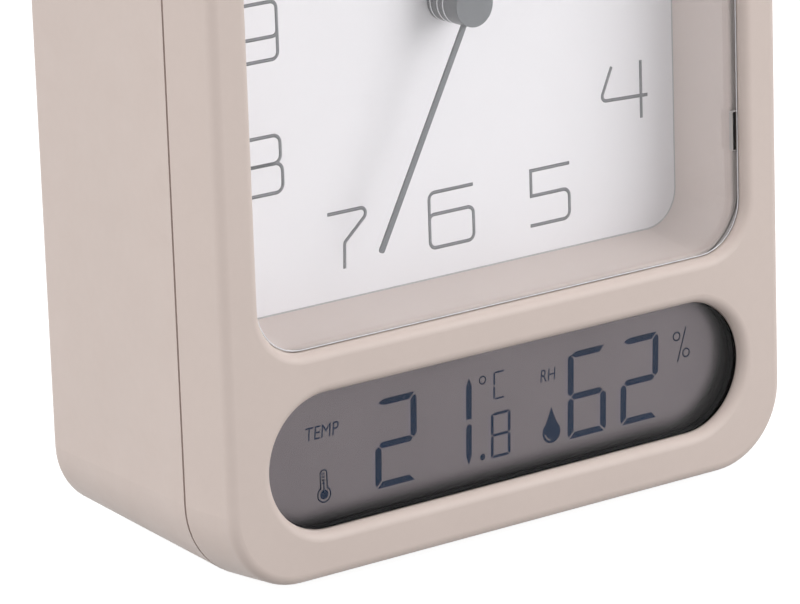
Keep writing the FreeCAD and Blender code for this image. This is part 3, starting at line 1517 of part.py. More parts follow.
def movement_board():
    x, z = "-(movement_width / 2 - movement_wall - movement_board_width / 2 - overrun)", f"{HUB} + movement_board_rise"
    depth = f"({layer(9)} - board_thick)"
    board = box("movement_board_sheet", "movement_board_width", "board_thick", "movement_board_height",
                x, depth, z)
    chip = rod("movement_chip", f"chip_width * {CHIP_SHARE}", "board_thick", f"{x} + chip_width * {CHIP_SHARE} / 2",
               f"{depth} - board_thick", f"{z} + movement_board_height / 2")
    node(fuse("movement_board_solid", board, chip), "movement_board")
    crystal = rod("crystal_can", "crystal_width", "crystal_length", f"{x} - movement_board_width * {CRYSTAL_SHARE}",
                  f"{depth} - crystal_width / 2", f"{z} + crystal_width", UPWARDS)
    node(crystal, "quartz_crystal")


def alarm_switch():
    """The slide switch on the back of the movement, and its slider in the recess."""
    back = f"({layer(9)} + movement_wall)"
    case = box("alarm_switch_case", "switch_width", "switch_thick", "switch_height", "0", back,
               f"{HUB} - switch_height / 2")
    node(case, "alarm_switch")
    slider = box("slider_stick", "slider_width", "slider_length", "slider_height", "0",
                 f"{back} + switch_thick + slot_gap / 2",
                 f"{HUB} - slider_travel / 2 - slider_height / 2")
    node(slider, "alarm_slider")


def buzzer():
    can = rod("buzzer_can", "buzzer_width", "buzzer_thick", "0",
              "case_depth - case_wall - buzzer_thick", f"{HUB} + buzzer_rise")
    port = rod("buzzer_port", "sound_hole", "buzzer_thick", "0",
               "case_depth - case_wall - buzzer_thick / 2", f"{HUB} + buzzer_rise")
    node(cut("buzzer_solid", can, port), "alarm_buzzer")


# Snooze button on the top

SNOOZE_TOP = f"(foot_proud + case_height - {shrink('snooze_depth')} + snooze_proud)"
SNOOZE_REAR = "(snooze_depth + snooze_width / 2 + snooze_flange)"
SNOOZE_INNER = f"(foot_proud + case_height - {shrink(SNOOZE_REAR)} - case_wall)"
SNOOZE_FLANGE = f"({SNOOZE_INNER} - snooze_gap - snooze_flange_thick)"
SNOOZE_SWITCH = f"({SNOOZE_FLANGE} - snooze_travel - press_fit)"


def snooze_button():
    button = body("snooze_button")
    middle = f"{FRONT} + snooze_depth"
    plan = sketch(button, "flange_outline", height=SNOOZE_FLANGE)
    pill(plan, "snooze_length + 2 * snooze_flange", "snooze_width + 2 * snooze_flange", "0", middle)
    pad(button, "flange", plan, "snooze_flange_thick")
    cap = sketch(button, "cap_outline", height=SNOOZE_FLANGE)
    pill(cap, "snooze_length", "snooze_width", "0", middle)
    pad(button, "cap", cap, f"{SNOOZE_TOP} - {SNOOZE_FLANGE}")
    top, near = value(SNOOZE_TOP), value("snooze_gap") * NEAR_SHARE
    fillet(button, "soft_edge", "snooze_proud / 2", lambda b: b.ZMin > top - near)
    return node(button, "snooze_button")


def snooze_switch():
    """The push switch under the button, on a bracket that hangs from the top wall."""
    base = f"({SNOOZE_SWITCH} - snooze_switch_height)"
    case = box("snooze_switch_case", "snooze_switch_width", "snooze_switch_width",
               f"snooze_switch_height * {SWITCH_CASE_SHARE}", "0", "snooze_depth - snooze_switch_width / 2", base)
    stem_piece = rod("snooze_switch_stem", "snooze_switch_width / 2", "snooze_switch_height", "0",
                     "snooze_depth", base, UPWARDS)
    node(fuse("snooze_switch_solid", case, stem_piece), "snooze_switch")
    reach = "(snooze_length / 2 + snooze_flange + 2 * bracket_arm)"
    shelf = box("bracket_shelf", f"2 * {reach}", "snooze_width", "bracket_thick", "0",
                "snooze_depth - snooze_width / 2", f"{base} - bracket_thick")
    arms = both_sides(
        lambda side: box("bracket_arm_piece", "bracket_arm", "snooze_width",
                         f"{SNOOZE_INNER} - {base} + bracket_thick",
                         f"{side} * ({reach} - bracket_arm / 2)",
                         "snooze_depth - snooze_width / 2", f"{base} - bracket_thick")
    )
    node(fuse("snooze_bracket_solid", shelf, *arms), "snooze_bracket")


# Batteries

def battery_tray():
    bottom = "(foot_proud + bay_bottom)"
    outer_z = f"{bottom} - bay_wall"
    deep = f"({BAY_BACK} - {BAY_FRONT})"
    block = box("tray_block", "bay_length + 2 * bay_wall", f"{deep} + bay_wall",
                f"{BAY_TOP} - {bottom} + 2 * bay_wall", "0", f"{BAY_FRONT} - bay_wall", outer_z)
    upper = box("tray_upper", "bay_length", f"{deep} + overrun", f"{BAY_TOP} - {CELL_BAY_Z}", "0",
                BAY_FRONT, CELL_BAY_Z)
    lower_front = "(case_depth - door_recess - 2 * cell_gap - small_cell_width)"
    lower = box("tray_lower", "small_bay_length", f"{BAY_BACK} - {lower_front} + overrun",
                "small_cell_width + 2 * cell_gap", "0", lower_front, bottom)
    ears = both_sides(
        lambda side: box("tray_ear_piece", "tray_ear", "tray_ear_thick", "tray_ear",
                         f"{side} * (bay_length / 2 + bay_wall + tray_ear / 2)",
                         f"{BAY_BACK} - tray_ear_thick", f"{CELL_Z} - tray_ear / 2")
    )
    holes = both_sides(
        lambda side: rod("tray_ear_hole", "case_screw + 2 * screw_fit", "tray_ear_thick + 2 * overrun",
                         f"{side} * tray_screw_offset", f"{BAY_BACK} - tray_ear_thick - overrun", CELL_Z)
    )
    node(cut("tray", fuse("tray_solid", block, *ears), upper, lower, *holes), "battery_tray")
    screws = both_sides(
        lambda side: screw("tray_screw", f"{BAY_BACK} - tray_ear_thick", "tray_screw_length",
                           f"{side} * tray_screw_offset", CELL_Z, backwards=True)
    )
    node(group("tray_screw_set", *screws), "tray_screws")


def cell(name, width, length, depth, z, side):
    """A dry cell across the clock, its nub towards one side."""
    can = rod(name + "_can", width, length, f"-({length}) / 2", depth, z, SIDEWAYS)
    nub_x = f"({length}) / 2" if side > 0 else f"-({length}) / 2 - cell_nub_length"
    nub = rod(name + "_nub", "cell_nub", "cell_nub_length", nub_x, depth, z, SIDEWAYS)
    node(fuse(name + "_solid", can, nub), name)


def contacts():
    """Flat plates at the nubs, and plates with coil springs at the other ends."""
    plates, springs = [], []
    rows = [
        ("cell", CELL_DEPTH, CELL_Z, "cell_length", "bay_length", 1),
        ("small_cell", SMALL_CELL_DEPTH, SMALL_CELL_Z, "small_cell_length", "small_bay_length", -1),
    ]
    for name, depth, z, length, bay, side in rows:
        face = f"({bay} / 2 - contact_thick)"
        for end in (-1, 1):
            x = f"{end} * ({face} + contact_thick / 2)"
            plate = box(f"{name}_contact", "contact_thick", "contact_width", "contact_width", x,
                        f"{depth} - contact_width / 2", f"{z} - contact_width / 2")
            if end == side:
                gap = f"({face} - {length} / 2 - cell_nub_length - press_fit)"
                pip = rod(f"{name}_pip", "cell_nub / 2", gap,
                          f"{face} - {gap}" if end > 0 else f"-{face}", depth, z, SIDEWAYS)
                plates.append(fuse(f"{name}_positive", plate, pip))
            else:
                springs.append((plate, end, depth, z, f"({face} - {length} / 2 - press_fit)", face))
    node(group("positive_set", *plates), "positive_contacts")

    solids = []
    wire, width = value("spring_wire"), value("spring_width")
    for plate, end, depth, z, space, face in springs:
        room = value(space)
        pitch = (room - wire) / value("spring_turns")
        helix = Part.makeHelix(pitch, room - wire, (width - wire) / 2)
        start = Vector((width - wire) / 2, 0, 0)
        section = Part.Wire([Part.makeCircle(wire / 2, start, Vector(0, math.pi * (width - wire), pitch))])
        coil_solid = Part.Wire(helix).makePipeShell([section], True, False)
        made = doc.addObject("Part::Feature", "contact_spring")
        made.Shape = coil_solid
        start_x = value(face) - room + wire / 2
        turn = SIDEWAYS if end > 0 else Rotation(Vector(0, 1, 0), -90)
        made.Placement = Placement(
            Vector(end * start_x, value(f"{FRONT} + {depth}"), value(z)), turn
        )
        solids += [plate, made]
    node(group("negative_set", *solids), "negative_contacts")


def battery_door():
    """The door over both cells, on two pins at its lower edge."""
    top = "foot_proud + door_bottom + door_height"
    plate = box("door_plate", "door_width", "door_thick", f"{top} - {HINGE_Z}", "0",
                "case_depth - door_thick", HINGE_Z)
    axis_depth = "case_depth - hinge_width / 2"
    barrel = rod("door_barrel", "hinge_width", "door_width", "-door_width / 2", axis_depth, HINGE_Z, SIDEWAYS)
    pin = rod("door_pin", "hinge_pin", "door_width + 2 * hinge_pin_length",
              "-door_width / 2 - hinge_pin_length", axis_depth, HINGE_Z, SIDEWAYS)
    grip = rod("door_grip", "finger_height", "finger_width", "-finger_width / 2",
               f"case_depth + finger_height * {GRIP_SHARE}", f"{top} - finger_height", SIDEWAYS)
    node(cut("door_solid_cut", fuse("door_solid", plate, barrel, pin), grip), "battery_door")


# Display

def display():
    lens = body("display_lens")
    flange = sketch(lens, "flange_outline", depth="face_wall")
    pill(flange, "pill_length + 2 * display_flange", "pill_height + 2 * display_flange", "0", PILL)
    pad(lens, "flange", flange, "display_lens_thick", against=True)
    face = sketch(lens, "face_outline", depth="face_wall")
    pill(face, "pill_length - 2 * lens_gap", "pill_height - 2 * lens_gap", "0", PILL)
    pad(lens, "face", face, "face_wall - display_lens_depth")
    node(lens, "display_lens")

    start = "(face_wall + display_lens_thick)"
    holder = body("display_holder")
    outer = sketch(holder, "outer", depth=start)
    rounded(
        outer,
        "panel_length + 2 * holder_wall",
        "panel_height + 2 * holder_wall",
        "panel_round + holder_wall",
        "0",
        PILL,
    )
    pad(holder, "block", outer, f"display_board_depth - {start}", against=True)
    aperture = sketch(holder, "aperture", depth=start)
    pill(aperture, "pill_length + 2 * panel_gap", "pill_height + 2 * panel_gap", "0", PILL)
    pocket(holder, "light_box", aperture, f"panel_depth - {start} + overrun / 2")
    seat = sketch(holder, "seat", depth="panel_depth - panel_gap")
    rounded(
        seat,
        "panel_length + 2 * panel_gap",
        "panel_height + 2 * panel_gap",
        "panel_round + panel_gap",
        "0",
        PILL,
    )
    pocket(holder, "panel_seat", seat, "display_board_depth - panel_depth + overrun")
    node(holder, "display_holder")

    panel = body("lcd_panel")
    glass = sketch(panel, "glass", depth="panel_depth")
    rounded(glass, "panel_length", "panel_height", "panel_round", "0", PILL)
    pad(panel, "sheet", glass, "panel_thick", against=True)
    node(panel, "lcd_panel")

    reflector = body("lcd_reflector")
    sheet_outline = sketch(reflector, "sheet", depth="panel_depth + panel_thick")
    rounded(
        sheet_outline,
        "panel_length - 2 * reflector_inset",
        "panel_height - 2 * reflector_inset",
        "panel_round - reflector_inset",
        "0",
        PILL,
    )
    pad(reflector, "foil", sheet_outline, "reflector_thick", against=True)
    node(reflector, "lcd_reflector")

    strips = [
        box("zebra", "panel_length - 2 * panel_round", "display_board_depth - panel_depth - panel_thick",
            "zebra_height", "0", "panel_depth + panel_thick",
            f"{PILL} + {rise} * (panel_height - zebra_height) / 2 - zebra_height / 2")
        for rise in ("-1", "1")
    ]
    node(group("zebra_set", *strips), "zebra_strips")

    board = body("display_board")
    sheet_outline = sketch(board, "sheet", depth="display_board_depth")
    rounded(
        sheet_outline,
        "panel_length + 2 * holder_wall",
        "panel_height + 2 * holder_wall",
        "panel_round + holder_wall",
        "0",
        PILL,
    )
    pad(board, "laminate", sheet_outline, "board_thick", against=True)
    ears = sketch(board, "ears", depth="display_board_depth")
    rectangle(ears, "2 * board_ear_reach", "board_ear", "0", PILL)
    pad(board, "ear_bar", ears, "board_thick", against=True)
    holes = sketch(board, "holes", depth="display_board_depth")
    for side in ("-1", "1"):
        circle(holes, "case_screw + 2 * screw_fit", f"{side} * {DISPLAY_BOSS_X}", PILL)
    pocket(board, "ear_holes", holes, "board_thick + overrun")
    node(board, "display_board")

    back = "display_board_depth + board_thick"
    screws = both_sides(
        lambda side: screw("display_screw", back, "small_screw_length", f"{side} * {DISPLAY_BOSS_X}", PILL)
    )
    node(group("display_screw_set", *screws), "display_screws")
    node(rod("chip_blob", "chip_width", "chip_thick", "0", back, PILL), "display_chip")
    sensor = box("sensor_case", "sensor_width", "sensor_thick", "sensor_width", "sensor_offset", back,
                 f"{PILL} - pill_height / 2 + sensor_width / 2")
    port = rod("sensor_port", "sensor_width / 2", "sensor_thick", "sensor_offset",
               f"{back} + sensor_thick / 2", f"{PILL} - pill_height / 2 + sensor_width")
    node(cut("sensor_solid", sensor, port), "climate_sensor")


def unit_button():
    """The small button that changes the display's unit, and its switch on a board."""
    z = "(foot_proud + unit_height)"
    inner = "(case_depth - case_wall)"
    flange = rod("unit_flange_disc", "unit_width + 2 * unit_flange", "unit_flange_thick", "unit_offset",
                 f"{inner} - unit_gap - unit_flange_thick", z)
    cap = rod("unit_cap", "unit_width", f"case_wall + unit_gap + unit_flange_thick", "unit_offset",
              f"{inner} - unit_gap - unit_flange_thick", z)
    node(fuse("unit_button_solid", flange, cap), "unit_button")
    board_depth = f"({inner} - {UNIT_STACK} - board_thick)"
    node(box("unit_board_sheet", "unit_board_width", "board_thick", "unit_board_height", "unit_offset",
             board_depth, f"{z} - unit_board_height / 2"), "unit_board")
    case = box("unit_switch_case", "unit_switch_width", f"unit_switch_height * {SWITCH_CASE_SHARE}", "unit_switch_width",
               "unit_offset", f"{inner} - {UNIT_STACK}", f"{z} - unit_switch_width / 2")
    plunger = rod("unit_switch_stem", "unit_switch_width / 2", "unit_switch_height", "unit_offset",
                  f"{inner} - {UNIT_STACK}", z)
    node(fuse("unit_switch_solid", case, plunger), "unit_switch")


# Leads, each a round wire along straight runs with round bends

def lead(name, points):
    """A wire through points, each bend an arc inside its corner."""
    bend, width = value("lead_bend"), value("lead_width")
    edges, start = [], points[0]
    for before, corner, after in zip(points, points[1:], points[2:]):
        back, on = (before - corner), (after - corner)
        reach = min(bend, back.Length / 2, on.Length / 2)
        enter = corner + back.normalize() * reach
        leave = corner + on.normalize() * reach
        half = back.getAngle(on) / 2
        radius = reach * math.tan(half)
        middle_way = (back + on).normalize()
        centre = corner + middle_way * (radius / math.sin(half))
        edges.append(Part.LineSegment(start, enter).toShape())
        edges.append(Part.Arc(enter, centre - middle_way * radius, leave).toShape())
        start = leave
    edges.append(Part.LineSegment(start, points[-1]).toShape())
    section = Part.Wire([Part.makeCircle(width / 2, points[0], points[1] - points[0])])
    made = doc.addObject("Part::Feature", name)
    made.Shape = Part.Wire(edges).makePipeShell([section], True, False)
    return made


def point(x, depth, z):
    return Vector(value(x), value(f"{FRONT} + {depth}"), value(z))


def leads():
    """Two wires from each cell's bay, to the movement and to the display board."""
    width = "lead_width"
    movement_low = f"{HUB} - movement_width / 2"
    tray_top = f"{BAY_TOP} + bay_wall"
    clock_pair, display_pair = [], []
    for side in ("-1", "1"):
        x = f"{side} * (bay_length / 2 - contact_width)"
        rise = f"({tray_top} + {movement_low}) / 2"
        clock_pair.append(
            lead(
                "clock_lead",
                [
                    point(x, f"{CELL_DEPTH} - lead_bend", f"{tray_top} + press_fit"),
                    point(x, f"{CELL_DEPTH} - lead_bend", rise),
                    point(x, f"{layer(6)}", rise),
                    point(x, f"{layer(6)}", f"{movement_low} - press_fit"),
                ],
            )
        )
    board_back = "display_board_depth + board_thick + press_fit"
    tray_low = "foot_proud + bay_bottom - bay_wall - press_fit"
    drop = f"{tray_low} - lead_bend"
    for x in ("contact_width - bay_length / 2", f"contact_width + 3 * {width} - bay_length / 2"):
        display_pair.append(
            lead(
                "display_lead",
                [
                    point(x, SMALL_CELL_DEPTH, tray_low),
                    point(x, SMALL_CELL_DEPTH, drop),
                    point(x, board_back, drop),
                ],
            )
        )
    node(group("lead_set", *clock_pair, *display_pair), "battery_leads")


def main():
    front_frame()
    rear_case()
    rubber_feet()
    case_screws()
    dial_lens()
    dial_shroud()
    dial_card()
    dial_plate()
    dial_screws()
    hands()
    train()
    motor(movement_shells())
    movement_screws()
    movement_board()
    knobs()
    alarm_switch()
    buzzer()
    snooze_button()
    snooze_switch()
    battery_tray()
    cell("clock_cell", "cell_width", "cell_length", CELL_DEPTH, CELL_Z, 1)
    cell("display_cell", "small_cell_width", "small_cell_length", SMALL_CELL_DEPTH, SMALL_CELL_Z, -1)
    contacts()
    battery_door()
    display()
    unit_button()
    leads()
    doc.recompute()

    for item in doc.Objects:
        if "Invalid" in item.State or "Error" in item.State:
            raise RuntimeError(f"{item.Label} did not compute")
    for item in NODES:
        if item.Shape.isNull() or not item.Shape.isValid():
            raise RuntimeError(f"{item.Label} has no valid shape")
    os.makedirs("parts", exist_ok=True)
    for item in NODES:
        item.Shape.exportStep(os.path.join("parts", item.Label + ".step"))
    print(len(NODES), "nodes")


main()
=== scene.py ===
"""Looks of a table clock with a dial, a temperature and humidity display, and its studio.

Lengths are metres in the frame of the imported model. Flat artwork is drawn in millimetres, across and
up, the dial's from the hands' axis and the display's from the middle of its window.
"""

from math import atan2, cos, pi, radians, sin, tan

import bpy
from mathutils import Matrix, Vector


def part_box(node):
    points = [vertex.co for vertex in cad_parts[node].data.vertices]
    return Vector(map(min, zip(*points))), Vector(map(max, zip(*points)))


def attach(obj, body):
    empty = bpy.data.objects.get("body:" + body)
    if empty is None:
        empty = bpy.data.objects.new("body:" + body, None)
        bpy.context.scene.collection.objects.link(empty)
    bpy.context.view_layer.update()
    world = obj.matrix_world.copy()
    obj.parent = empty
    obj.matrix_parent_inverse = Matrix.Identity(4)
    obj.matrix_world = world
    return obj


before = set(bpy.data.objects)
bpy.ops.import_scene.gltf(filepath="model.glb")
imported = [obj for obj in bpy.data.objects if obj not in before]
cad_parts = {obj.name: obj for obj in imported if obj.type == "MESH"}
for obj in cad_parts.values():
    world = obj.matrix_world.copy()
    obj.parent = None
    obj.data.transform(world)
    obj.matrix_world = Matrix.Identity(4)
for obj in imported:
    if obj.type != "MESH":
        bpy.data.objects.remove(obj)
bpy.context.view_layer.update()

MM = 0.001
LEFT, RIGHT = -1, 1


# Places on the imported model, with flat print a little proud of its face

def middle_of(node):
    low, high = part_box(node)
    return (low + high) / 2


PRINT = 0.04 * MM
HUB_HEIGHT = middle_of("dial_card").z
DISPLAY_HEIGHT = middle_of("display_lens").z
LENS_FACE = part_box("dial_lens")[0].y
DIAL_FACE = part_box("dial_card")[0].y
DISPLAY_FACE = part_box("lcd_panel")[0].y - PRINT / 2
BACK_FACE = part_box("rear_case")[1].y + PRINT / 4
DOOR_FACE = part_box("battery_door")[1].y + PRINT / 4
SNOOZE_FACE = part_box("snooze_button")[1].z + PRINT / 4


# Colours and the means to make a finish

def paint(red, green, blue):
    """A colour read from a paint card in steps of 0 to 255, as the shader wants it."""
    linear = []
    for part in (red, green, blue):
        part /= 255
        linear.append(part / 12.92 if part <= 0.04045 else ((part + 0.055) / 1.055) ** 2.4)
    return (*linear, 1.0)


def tinted(colour, share):
    return (*(part * share for part in colour[:3]), 1.0)


class Finish:
    """A material under work: its nodes, its shader and the place that its patterns follow."""

    def __init__(self, name, colour, roughness, **sockets):
        self.material = bpy.data.materials.new(name)
        self.material.use_nodes = True
        self.nodes = self.material.node_tree.nodes
        self.links = self.material.node_tree.links
        self.shader = self.nodes["Principled BSDF"]
        self.place = self.nodes.new("ShaderNodeTexCoord").outputs["Object"]
        self.colour = colour
        self.wire("Base Color", colour)
        self.wire("Roughness", roughness)
        for socket, level in sockets.items():
            self.wire(socket.replace("_", " "), level)

    def feed(self, socket, source):
        """Links the socket to another one, or sets it to a plain value."""
        if isinstance(source, bpy.types.NodeSocket):
            self.links.new(source, socket)
        else:
            socket.default_value = source

    def wire(self, socket, source):
        self.feed(self.shader.inputs[socket], source)

    def node(self, kind, settings=(), **inputs):
        """A new node, with its settings made and its inputs fed by name."""
        made = self.nodes.new(kind)
        for name, level in dict(settings).items():
            setattr(made, name, level)
        for name, source in inputs.items():
            self.feed(made.inputs[name.replace("_", " ")], source)
        return made

    def clouds(self, size, detail=3.0, rough=0.5, place=None):
        """Soft noise whose patches are about this many millimetres across."""
        made = self.node("ShaderNodeTexNoise", Vector=place or self.place, Scale=1 / (size * MM),
                         Detail=detail, Roughness=rough)
        return made.outputs["Fac"]

    def span(self, source, low, high, start=0.3, end=0.7, curve="LINEAR"):
        """The source's range from start to end, stretched to run from low to high."""
        made = self.node("ShaderNodeMapRange", {"interpolation_type": curve}, Value=source,
                         From_Min=start, From_Max=end, To_Min=low, To_Max=high)
        return made.outputs["Result"]

    def mix(self, source, first, second):
        """One colour turning into another as the source goes from 0 to 1."""
        factor, first_colour, second_colour, mixed_colour = 0, 6, 7, 2
        made = self.node("ShaderNodeMix", {"data_type": "RGBA"})
        self.feed(made.inputs[factor], source)
        self.feed(made.inputs[first_colour], first)
        self.feed(made.inputs[second_colour], second)
        return made.outputs[mixed_colour]

    def maths(self, operation, *terms):
        """One sum, its terms sockets or numbers."""
        made = self.node("ShaderNodeMath", {"operation": operation})
        for socket, term in zip(made.inputs, terms):
            self.feed(socket, term)
        return made.outputs[0]

    def across(self):
        """How far right of the clock's middle a point is."""
        return self.node("ShaderNodeSeparateXYZ", Vector=self.place).outputs["X"]

    def shaded(self, colour, level):
        """The colour made lighter or darker, worn by the shader and returned."""
        made = self.node("ShaderNodeHueSaturation", Color=colour, Value=level).outputs["Color"]
        self.wire("Base Color", made)
        return made

    def dappled(self, colour, size, low, high, detail=3.0):
        return self.shaded(colour, self.span(self.clouds(size, detail), low, high))

    def mottle(self, amount, broad=28.0, fine=1.4):
        """Two sizes of faint change in the colour."""
        dark, light = tinted(self.colour, 1 - amount), tinted(self.colour, 1 + amount)
        large = self.mix(self.span(self.clouds(broad), 0, 1), dark, light)
        return self.dappled(large, fine, 1 - amount / 2, 1 + amount / 2, 2)

    def satin(self, low, high, size=6.0):
        """Roughness that drifts between two levels."""
        self.wire("Roughness", self.span(self.clouds(size), low, high))

    def bumped(self, source, depth, strength=1.0, under=None):
        """Bumps as deep as depth, in millimetres, over those under them, worn and returned."""
        bump = self.node("ShaderNodeBump", Height=source, Distance=depth * MM, Strength=strength)
        if under is not None:
            self.feed(bump.inputs["Normal"], under)
        self.wire("Normal", bump.outputs["Normal"])
        return bump.outputs["Normal"]

    def blend(self, factor, first, second):
        """The first surface where the factor is 0, the second where it is 1."""
        made = self.node("ShaderNodeMixShader", Fac=factor)
        self.feed(made.inputs[1], first)
        self.feed(made.inputs[2], second)
        return made.outputs["Shader"]

    def show(self, surface):
        self.feed(self.nodes["Material Output"].inputs["Surface"], surface)


# Finishes

def moulded(name, colour, roughness, amount, grain=0.28, depth=0.006, **sockets):
    """Plastic from a sparked mould: its grain in millimetres, over the slow waves of the wall."""
    wave_size, wave_depth = 14.0, 0.02
    made = Finish(name, colour, roughness, **sockets)
    made.mottle(amount)
    made.satin(roughness - 0.05, roughness + 0.06)
    waves = made.bumped(made.clouds(wave_size, 1), wave_depth, 0.4)
    made.bumped(made.clouds(grain, 2, 0.6), depth, 0.8, waves)
    return made.material


def clear(name, colour, mirror, edge_paint):
    """Clear moulded acrylic with painted edges. Shadow rays pass it, so what is behind stays lit."""
    made = Finish(name, colour, 0.0, IOR=1.49, Transmission_Weight=1.0,
                  Specular_Tint=(mirror, mirror, mirror, 1.0))
    made.bumped(made.clouds(22, 1), 0.0015, 0.25)
    made.satin(0.0, 0.015, 30)
    shadow_ray = made.node("ShaderNodeLightPath").outputs["Is Shadow Ray"]
    passing = made.node("ShaderNodeBsdfTransparent", Color=tinted(colour, 0.97)).outputs["BSDF"]
    body = made.blend(shadow_ray, made.shader.outputs["BSDF"], passing)
    facing = made.node("ShaderNodeTexCoord").outputs["Normal"]
    outward = made.maths("ABSOLUTE", made.node("ShaderNodeSeparateXYZ", Vector=facing).outputs["Y"])
    edge = made.span(outward, 1, 0, 0.25, 0.3)
    ink = made.node("ShaderNodeBsdfDiffuse", Color=edge_paint, Roughness=0.6).outputs["BSDF"]
    made.show(made.blend(edge, body, ink))
    return made.material


def brushed(name, colour, roughness, stretch=(1, 1, 12), size=0.12, depth=0.002):
    """Metal with drawn lines along one direction and faint clouding."""
    made = Finish(name, colour, roughness, Metallic=1.0)
    made.mottle(0.06, 5.0, 0.5)
    drawn = made.node("ShaderNodeMapping", {"vector_type": "TEXTURE"}, Vector=made.place,
                      Scale=stretch).outputs["Vector"]
    lines = made.clouds(size, 3, 0.6, drawn)
    made.bumped(lines, depth, 0.6)
    made.wire("Roughness", made.span(lines, roughness - 0.08, roughness + 0.12))
    return made.material


def wound_wire():
    """Enamelled copper whose turns lie side by side along the coil."""
    made = Finish("winding_copper", paint(170, 92, 48), 0.3, Metallic=0.9, Coat_Weight=0.6)
    turns = made.node("ShaderNodeTexWave", {"bands_direction": "X"}, Vector=made.place,
                      Scale=1100.0, Distortion=0.3).outputs["Fac"]
    made.dappled(made.mix(turns, paint(96, 44, 20), paint(206, 124, 70)), 1.2, 0.85, 1.12)
    made.bumped(turns, 0.04)
    made.satin(0.25, 0.4, 0.6)
    return made.material


def circuit_board(name, colour):
    """Solder mask with copper tracks showing faintly through it."""
    made = Finish(name, colour, 0.35, Coat_Weight=0.4)
    cells = made.node("ShaderNodeTexVoronoi",
                      {"feature": "DISTANCE_TO_EDGE", "distance": "MANHATTAN"},
                      Vector=made.place, Scale=340.0)
    tracks = made.span(cells.outputs["Distance"], 1, 0, 0.06, 0.1)
    made.dappled(made.mix(tracks, tinted(colour, 0.85), tinted(colour, 1.7)), 4, 0.92, 1.08)
    made.bumped(tracks, 0.03)
    made.satin(0.28, 0.42, 2)
    return made.material


def cell_jacket(name, node, nub):
    """A dry cell's printed sleeve: a gold band at the nub's end and bright metal at both ends."""
    sleeve, band, stripe, metal = (paint(40, 44, 52), paint(186, 148, 84), paint(226, 222, 210),
                                   paint(198, 198, 200))
    made = Finish(name, sleeve, 0.3, Metallic=0.45)
    low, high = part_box(node)
    ramp = made.node("ShaderNodeValToRGB", Fac=made.span(made.across(), 0, 1, low.x, high.x))
    ramp.color_ramp.interpolation = "CONSTANT"
    stops = [(0.0, metal), (0.03, sleeve), (0.66, stripe), (0.68, band), (0.955, metal)]
    if nub == LEFT:
        stops = [(0.0, metal), (0.045, band), (0.32, stripe), (0.34, sleeve), (0.97, metal)]
    marks = ramp.color_ramp.elements
    marks[0].position, marks[0].color = stops[0]
    marks[1].position, marks[1].color = stops[-1]
    for position, colour in stops[1:-1]:
        marks.new(position).color = colour
    made.dappled(ramp.outputs["Color"], 3, 0.95, 1.04)
    made.satin(0.22, 0.36, 4)
    made.bumped(made.clouds(0.5), 0.004)
    return made.material


def paired_leads():
    """Red insulation on one side of the clock's middle and black on the other."""
    made = Finish("lead_insulation", paint(150, 24, 22), 0.42)
    right_side = made.maths("GREATER_THAN", made.across(), 0.0)
    made.dappled(made.mix(right_side, paint(160, 26, 24), paint(26, 26, 28)), 2, 0.9, 1.1)
    made.satin(0.36, 0.5, 1.5)
    made.bumped(made.clouds(0.3), 0.01)
    return made.material


def striped_rubber():
    """Conductive strips: thin dark layers in pale silicone."""
    made = Finish("contact_strip_rubber", paint(60, 60, 64), 0.6)
    layers = made.node("ShaderNodeTexWave", {"bands_direction": "X"}, Vector=made.place,
                       Scale=1600.0).outputs["Fac"]
    made.dappled(made.mix(layers, paint(22, 22, 24), paint(196, 190, 182)), 2, 0.9, 1.1)
    made.satin(0.5, 0.7, 1)
    made.bumped(layers, 0.01)
    return made.material


def half_mirror(name, colour, roughness, low, high, size):
    """The grey of a reflective display. Returns the finish and its mottled colour."""
    made = Finish(name, colour, roughness, Metallic=0.9)
    mottled = made.mottle(0.02, 18.0, 0.8)
    made.satin(low, high, size)
    made.bumped(made.clouds(14, 1), 0.002, 0.15)
    return made, mottled


def display_glass():
    """The display's grey, even within a long oval and darker past it towards the right and lower
    edges: a painted reflection of its black surround.
    """
    oval_left, oval_rise, straight = 2.4 * MM, 1.7 * MM, 35.6 * MM
    even_reach, painted_reflection_reach, painted_reflection_darkest = 9.1 * MM, 12.6 * MM, 0.06
    made, mottled = half_mirror("display_grey", paint(112, 106, 108), 0.42, 0.4, 0.45, 12)
    place = made.node("ShaderNodeSeparateXYZ", Vector=made.place).outputs
    sideways = made.maths("ABSOLUTE", made.maths("ADD", place["X"], oval_left))
    past_straight = made.maths("MAXIMUM", made.maths("SUBTRACT", sideways, straight), 0.0)
    upwards = made.maths("SUBTRACT", place["Z"], DISPLAY_HEIGHT + oval_rise)
    away = made.node("ShaderNodeCombineXYZ", X=past_straight, Z=upwards).outputs["Vector"]
    reach = made.node("ShaderNodeVectorMath", {"operation": "LENGTH"})
    made.feed(reach.inputs[0], away)
    # Painted reflection: the grey darkens with distance past the oval, as if the black surround showed
    # in the glass.
    made.shaded(mottled, made.span(reach.outputs["Value"], 1.0, painted_reflection_darkest, even_reach, painted_reflection_reach,
                                   "SMOOTHSTEP"))
    return made.material


def figure_shadow():
    """The figures' faint shadows on the layer behind them, a breath darker and bluer."""
    return half_mirror("display_shadow_grey", paint(112, 107, 112), 0.44, 0.36, 0.44, 9)[0].material


def dial_paper():
    made = Finish("dial_white", paint(223, 221, 225), 0.5)
    made.mottle(0.008, 30.0, 0.9)
    made.satin(0.46, 0.56, 5)
    made.bumped(made.clouds(0.18, 3, 0.65), 0.004, 0.7)
    return made.material


def hand_lacquer():
    """Thin grey lacquer on stamped metal, with faint flow marks along the blades."""
    made = Finish("hand_grey", paint(89, 91, 96), 0.42, Metallic=0.15, Coat_Weight=0.12)
    made.mottle(0.03, 6.0, 0.4)
    made.satin(0.36, 0.5, 2)
    made.bumped(made.clouds(0.2, 2), 0.003, 0.6)
    return made.material


